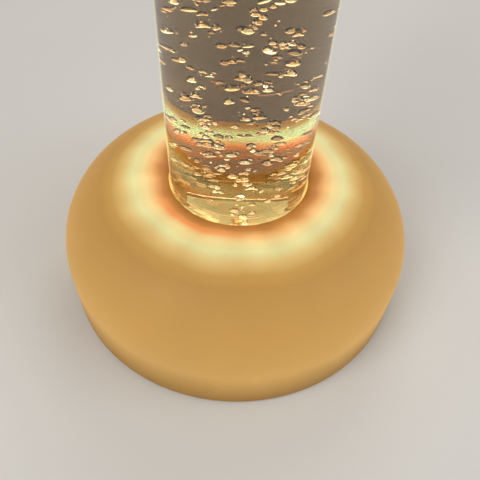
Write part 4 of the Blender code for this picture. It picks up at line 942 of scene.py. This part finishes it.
def add_spring():
    """A coil of steel wire between the floor of the button's well and its plunger."""
    low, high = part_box("button_spring")
    middle = (low + high) / 2.0
    coil_radius = (high.x - low.x) / 2.0 - spring_wire_radius
    curve = bpy.data.curves.new("coil_spring", "CURVE")
    curve.dimensions = "3D"
    curve.bevel_depth = spring_wire_radius
    curve.bevel_resolution = 3
    curve.use_fill_caps = True
    steps = spring_turns * spring_steps
    line = curve.splines.new("POLY")
    line.points.add(steps)
    first, last = low.y + spring_wire_radius, high.y - spring_wire_radius
    for step, corner in enumerate(line.points):
        share = step / steps
        turn = 2.0 * math.pi * spring_turns * share
        across, up = coil_radius * math.cos(turn), coil_radius * math.sin(turn)
        corner.co = (middle.x + across, first + (last - first) * share, middle.z - up, 1.0)
    wire = linked("coil_wire", curve)
    graph = bpy.context.evaluated_depsgraph_get()
    mesh = bpy.data.meshes.new_from_object(wire.evaluated_get(graph))
    bpy.data.objects.remove(wire)
    piece = linked("coil_spring", mesh)
    smooth(piece)
    dress(piece, "steel", "lamp", "button_spring")
    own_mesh(piece)


# The bubbles

def add_bubble(shape, place, width, height, tilt, spin, bend, rows=6, columns=10):
    """One flattened bubble: a dome above, nearly flat below, with its sides drooping."""
    turn = Matrix.Rotation(spin, 4, "Z") @ Matrix.Rotation(tilt, 4, "X")
    rings = []
    for row in range(rows + 1):
        polar = math.pi * row / rows
        ring = []
        for column in range(columns if 0 < row < rows else 1):
            angle = 2.0 * math.pi * column / columns
            reach = math.sin(polar) * width / 2.0
            rise = math.cos(polar) * height * (dome_share if polar < math.pi / 2.0 else belly_share)
            along = reach * math.cos(angle)
            across = reach * math.sin(angle) * across_share
            droop = bend * height * (2.0 * along / width) ** 2
            ring.append(shape.verts.new(place + turn @ Vector((along, across, rise - droop))))
        rings.append(ring)
    for upper, lower in zip(rings, rings[1:]):
        for column in range(columns):
            after = (column + 1) % columns
            corners = (
                upper[column % len(upper)], lower[column % len(lower)],
                lower[after % len(lower)], upper[after % len(upper)],
            )
            shape.faces.new(list(dict.fromkeys(corners)))


def place_in_stream(rng):
    """A place in one of the streams, which are fed by the nozzles."""
    angle = math.radians(rng.choices(nozzle_angles, stream_weights)[0])
    height = rng.uniform(floor_high + stream_margin, water_high - stream_margin)
    climb = height - floor_high
    spread = first_spread + added_spread * min(1.0, climb / spread_height)
    reach = nozzle_circle * (1.0 - stream_lean * min(1.0, climb / lean_height))
    centre = Vector((reach * math.cos(angle), reach * math.sin(angle), height))
    sway = stream_sway * math.sin(climb / sway_height + 3.0 * angle)
    return centre + Vector((rng.gauss(sway, spread), rng.gauss(0.0, spread), 0.0))


def add_bubbles():
    """Streams of bubbles that rise from the nozzles, with smaller ones caught beside them."""
    rng = random.Random(11)
    shape = bmesh.new()
    made = 0
    while made < bubble_count:
        place = place_in_stream(rng)
        if math.hypot(place.x, place.y) > bubble_reach:
            continue
        drawn = rng.gauss(bubble_width, bubble_width_spread)
        width = min(bubble_widest, max(bubble_narrowest, drawn))
        flat = rng.uniform(bubble_flattest, bubble_roundest)
        tilt = rng.gauss(0.0, bubble_tilt)
        bend = rng.uniform(least_droop, most_droop)
        add_bubble(shape, place, width, width * flat, tilt, rng.uniform(0.0, math.pi), bend)
        made += 1
        while rng.random() < beside_chance:
            along, across = rng.uniform(-1.0, 1.0), rng.uniform(-1.0, 1.0)
            place = place + Vector((along, across, rng.uniform(-beside_rise, beside_rise))) * width
            if math.hypot(place.x, place.y) < beside_reach:
                small = width * rng.uniform(beside_smallest, beside_largest)
                turned = tilt + rng.gauss(0.0, beside_tilt)
                add_bubble(shape, place, small, small * flat, turned, rng.uniform(0.0, math.pi), bend)
    return shape


def add_specks():
    """The finest bubbles, which drift all over the tube."""
    rng = random.Random(23)
    shape = bmesh.new()
    for speck in range(speck_count):
        angle, reach = rng.uniform(0.0, 2.0 * math.pi), speck_reach * math.sqrt(rng.random())
        height = rng.uniform(floor_high + speck_margin, water_high - speck_margin)
        width = rng.uniform(speck_narrowest, speck_widest)
        place = Vector((reach * math.cos(angle), reach * math.sin(angle), height))
        add_bubble(shape, place, width, width * speck_flatness, 0.0, 0.0, 0.0, rows=4, columns=6)
    return shape


def float_in_water(name, shape, look):
    """Makes a piece of a shape in the water."""
    piece = solid(name, shape)
    piece.data.shade_smooth()
    piece.data.materials.append(look)
    dress(piece, "water", "lamp")


# Stage, lights and camera

def add_stage():
    """A plain pale floor that fades into the room."""
    mesh = bpy.data.meshes.new("stage_floor")
    shape = bmesh.new()
    bmesh.ops.create_circle(shape, cap_ends=True, segments=96, radius=stage_radius)
    shape.to_mesh(mesh)
    shape.free()
    floor = linked("stage_floor", mesh)
    look = Look("stage_floor_look")
    tone = look.span(look.noise(3.0, 2.0), 0.3, 0.7, 0.0, 1.0)
    tint = look.mix(tone, (0.69, 0.68, 0.66), (0.71, 0.70, 0.68))
    ground = look.principled({"Base Color": tint}, {"Roughness": 0.75})
    away = look.span(look.radius(), haze_start, haze_full, smooth_step=True)
    haze = look.add("Emission", values={"Color": (*room_colour, 1.0), "Strength": 1.0})
    faded = look.add("MixShader", {0: away, 1: ground.outputs[0], 2: haze.outputs[0]})
    floor.data.materials.append(look.finish(faded))


def add_room():
    """A pale room with a darker ceiling, which lights the lamp softly."""
    world = bpy.data.worlds.new("studio")
    world.use_nodes = True
    tree = world.node_tree
    direction = tree.nodes.new("ShaderNodeSeparateXYZ")
    tree.links.new(tree.nodes.new("ShaderNodeTexCoord").outputs["Generated"], direction.inputs[0])
    ceiling = tree.nodes.new("ShaderNodeValToRGB")
    for element, place, colour in zip(ceiling.color_ramp.elements, (0.1, 0.6), (room_colour, ceiling_colour)):
        element.position = place
        element.color = (*colour, 1.0)
    tree.links.new(direction.outputs["Z"], ceiling.inputs[0])
    tree.links.new(ceiling.outputs[0], tree.nodes["Background"].inputs["Color"])
    bpy.context.scene.world = world


def add_light(name, place, aim, size, power, colour):
    """A soft square studio light."""
    data = bpy.data.lights.new(name, "AREA")
    data.shape = "SQUARE"
    data.size = size
    data.energy = power
    data.color = colour
    light = linked(name, data)
    light.location = place
    light.visible_transmission = False
    light.rotation_mode = "QUATERNION"
    light.rotation_quaternion = (Vector(aim) - Vector(place)).to_track_quat("-Z", "Y")


def add_camera():
    """The photograph's view: from the front and above, close to the base."""
    pitch, yaw, roll = (math.radians(turn) for turn in (camera_pitch, camera_yaw, camera_roll))
    ahead = Vector((math.sin(yaw) * math.cos(pitch), math.cos(yaw) * math.cos(pitch), -math.sin(pitch)))
    right = ahead.cross(Vector((0.0, 0.0, 1.0))).normalized()
    above = right.cross(ahead)
    side = right * math.cos(roll) + above * math.sin(roll)
    up = -right * math.sin(roll) + above * math.cos(roll)
    data = bpy.data.cameras.new("camera")
    data.sensor_width = sensor_width
    data.lens = photo_focal * sensor_width / photo_width
    data.clip_start = 0.01
    camera = linked("camera", data)
    basis = Matrix((side, up, -ahead)).transposed().to_4x4()
    camera.matrix_world = Matrix.Translation(camera_place) @ basis
    bpy.context.scene.camera = camera


add_shell()
add_tube()
add_floor()
add_water()
add_spring()
float_in_water("bubbles", add_bubbles(), bubble_look("bubble_look"))
float_in_water("specks", add_specks(), speck_look("speck_look"))

add_stage()
add_room()
add_light("key", (-1.6, -1.4, 2.4), aim=(0.0, 0.0, 0.3), size=1.6, power=42.0, colour=(1.0, 0.98, 0.95))
add_light("fill", (1.9, -0.6, 1.6), aim=(0.0, 0.0, 0.3), size=1.8, power=20.0, colour=(0.96, 0.98, 1.0))
add_light("back", (0.3, 2.2, 2.0), aim=(0.0, 0.0, 0.4), size=1.6, power=18.0, colour=(1.0, 0.99, 0.97))
add_camera()

bpy.context.scene.view_settings.view_transform = "Standard"
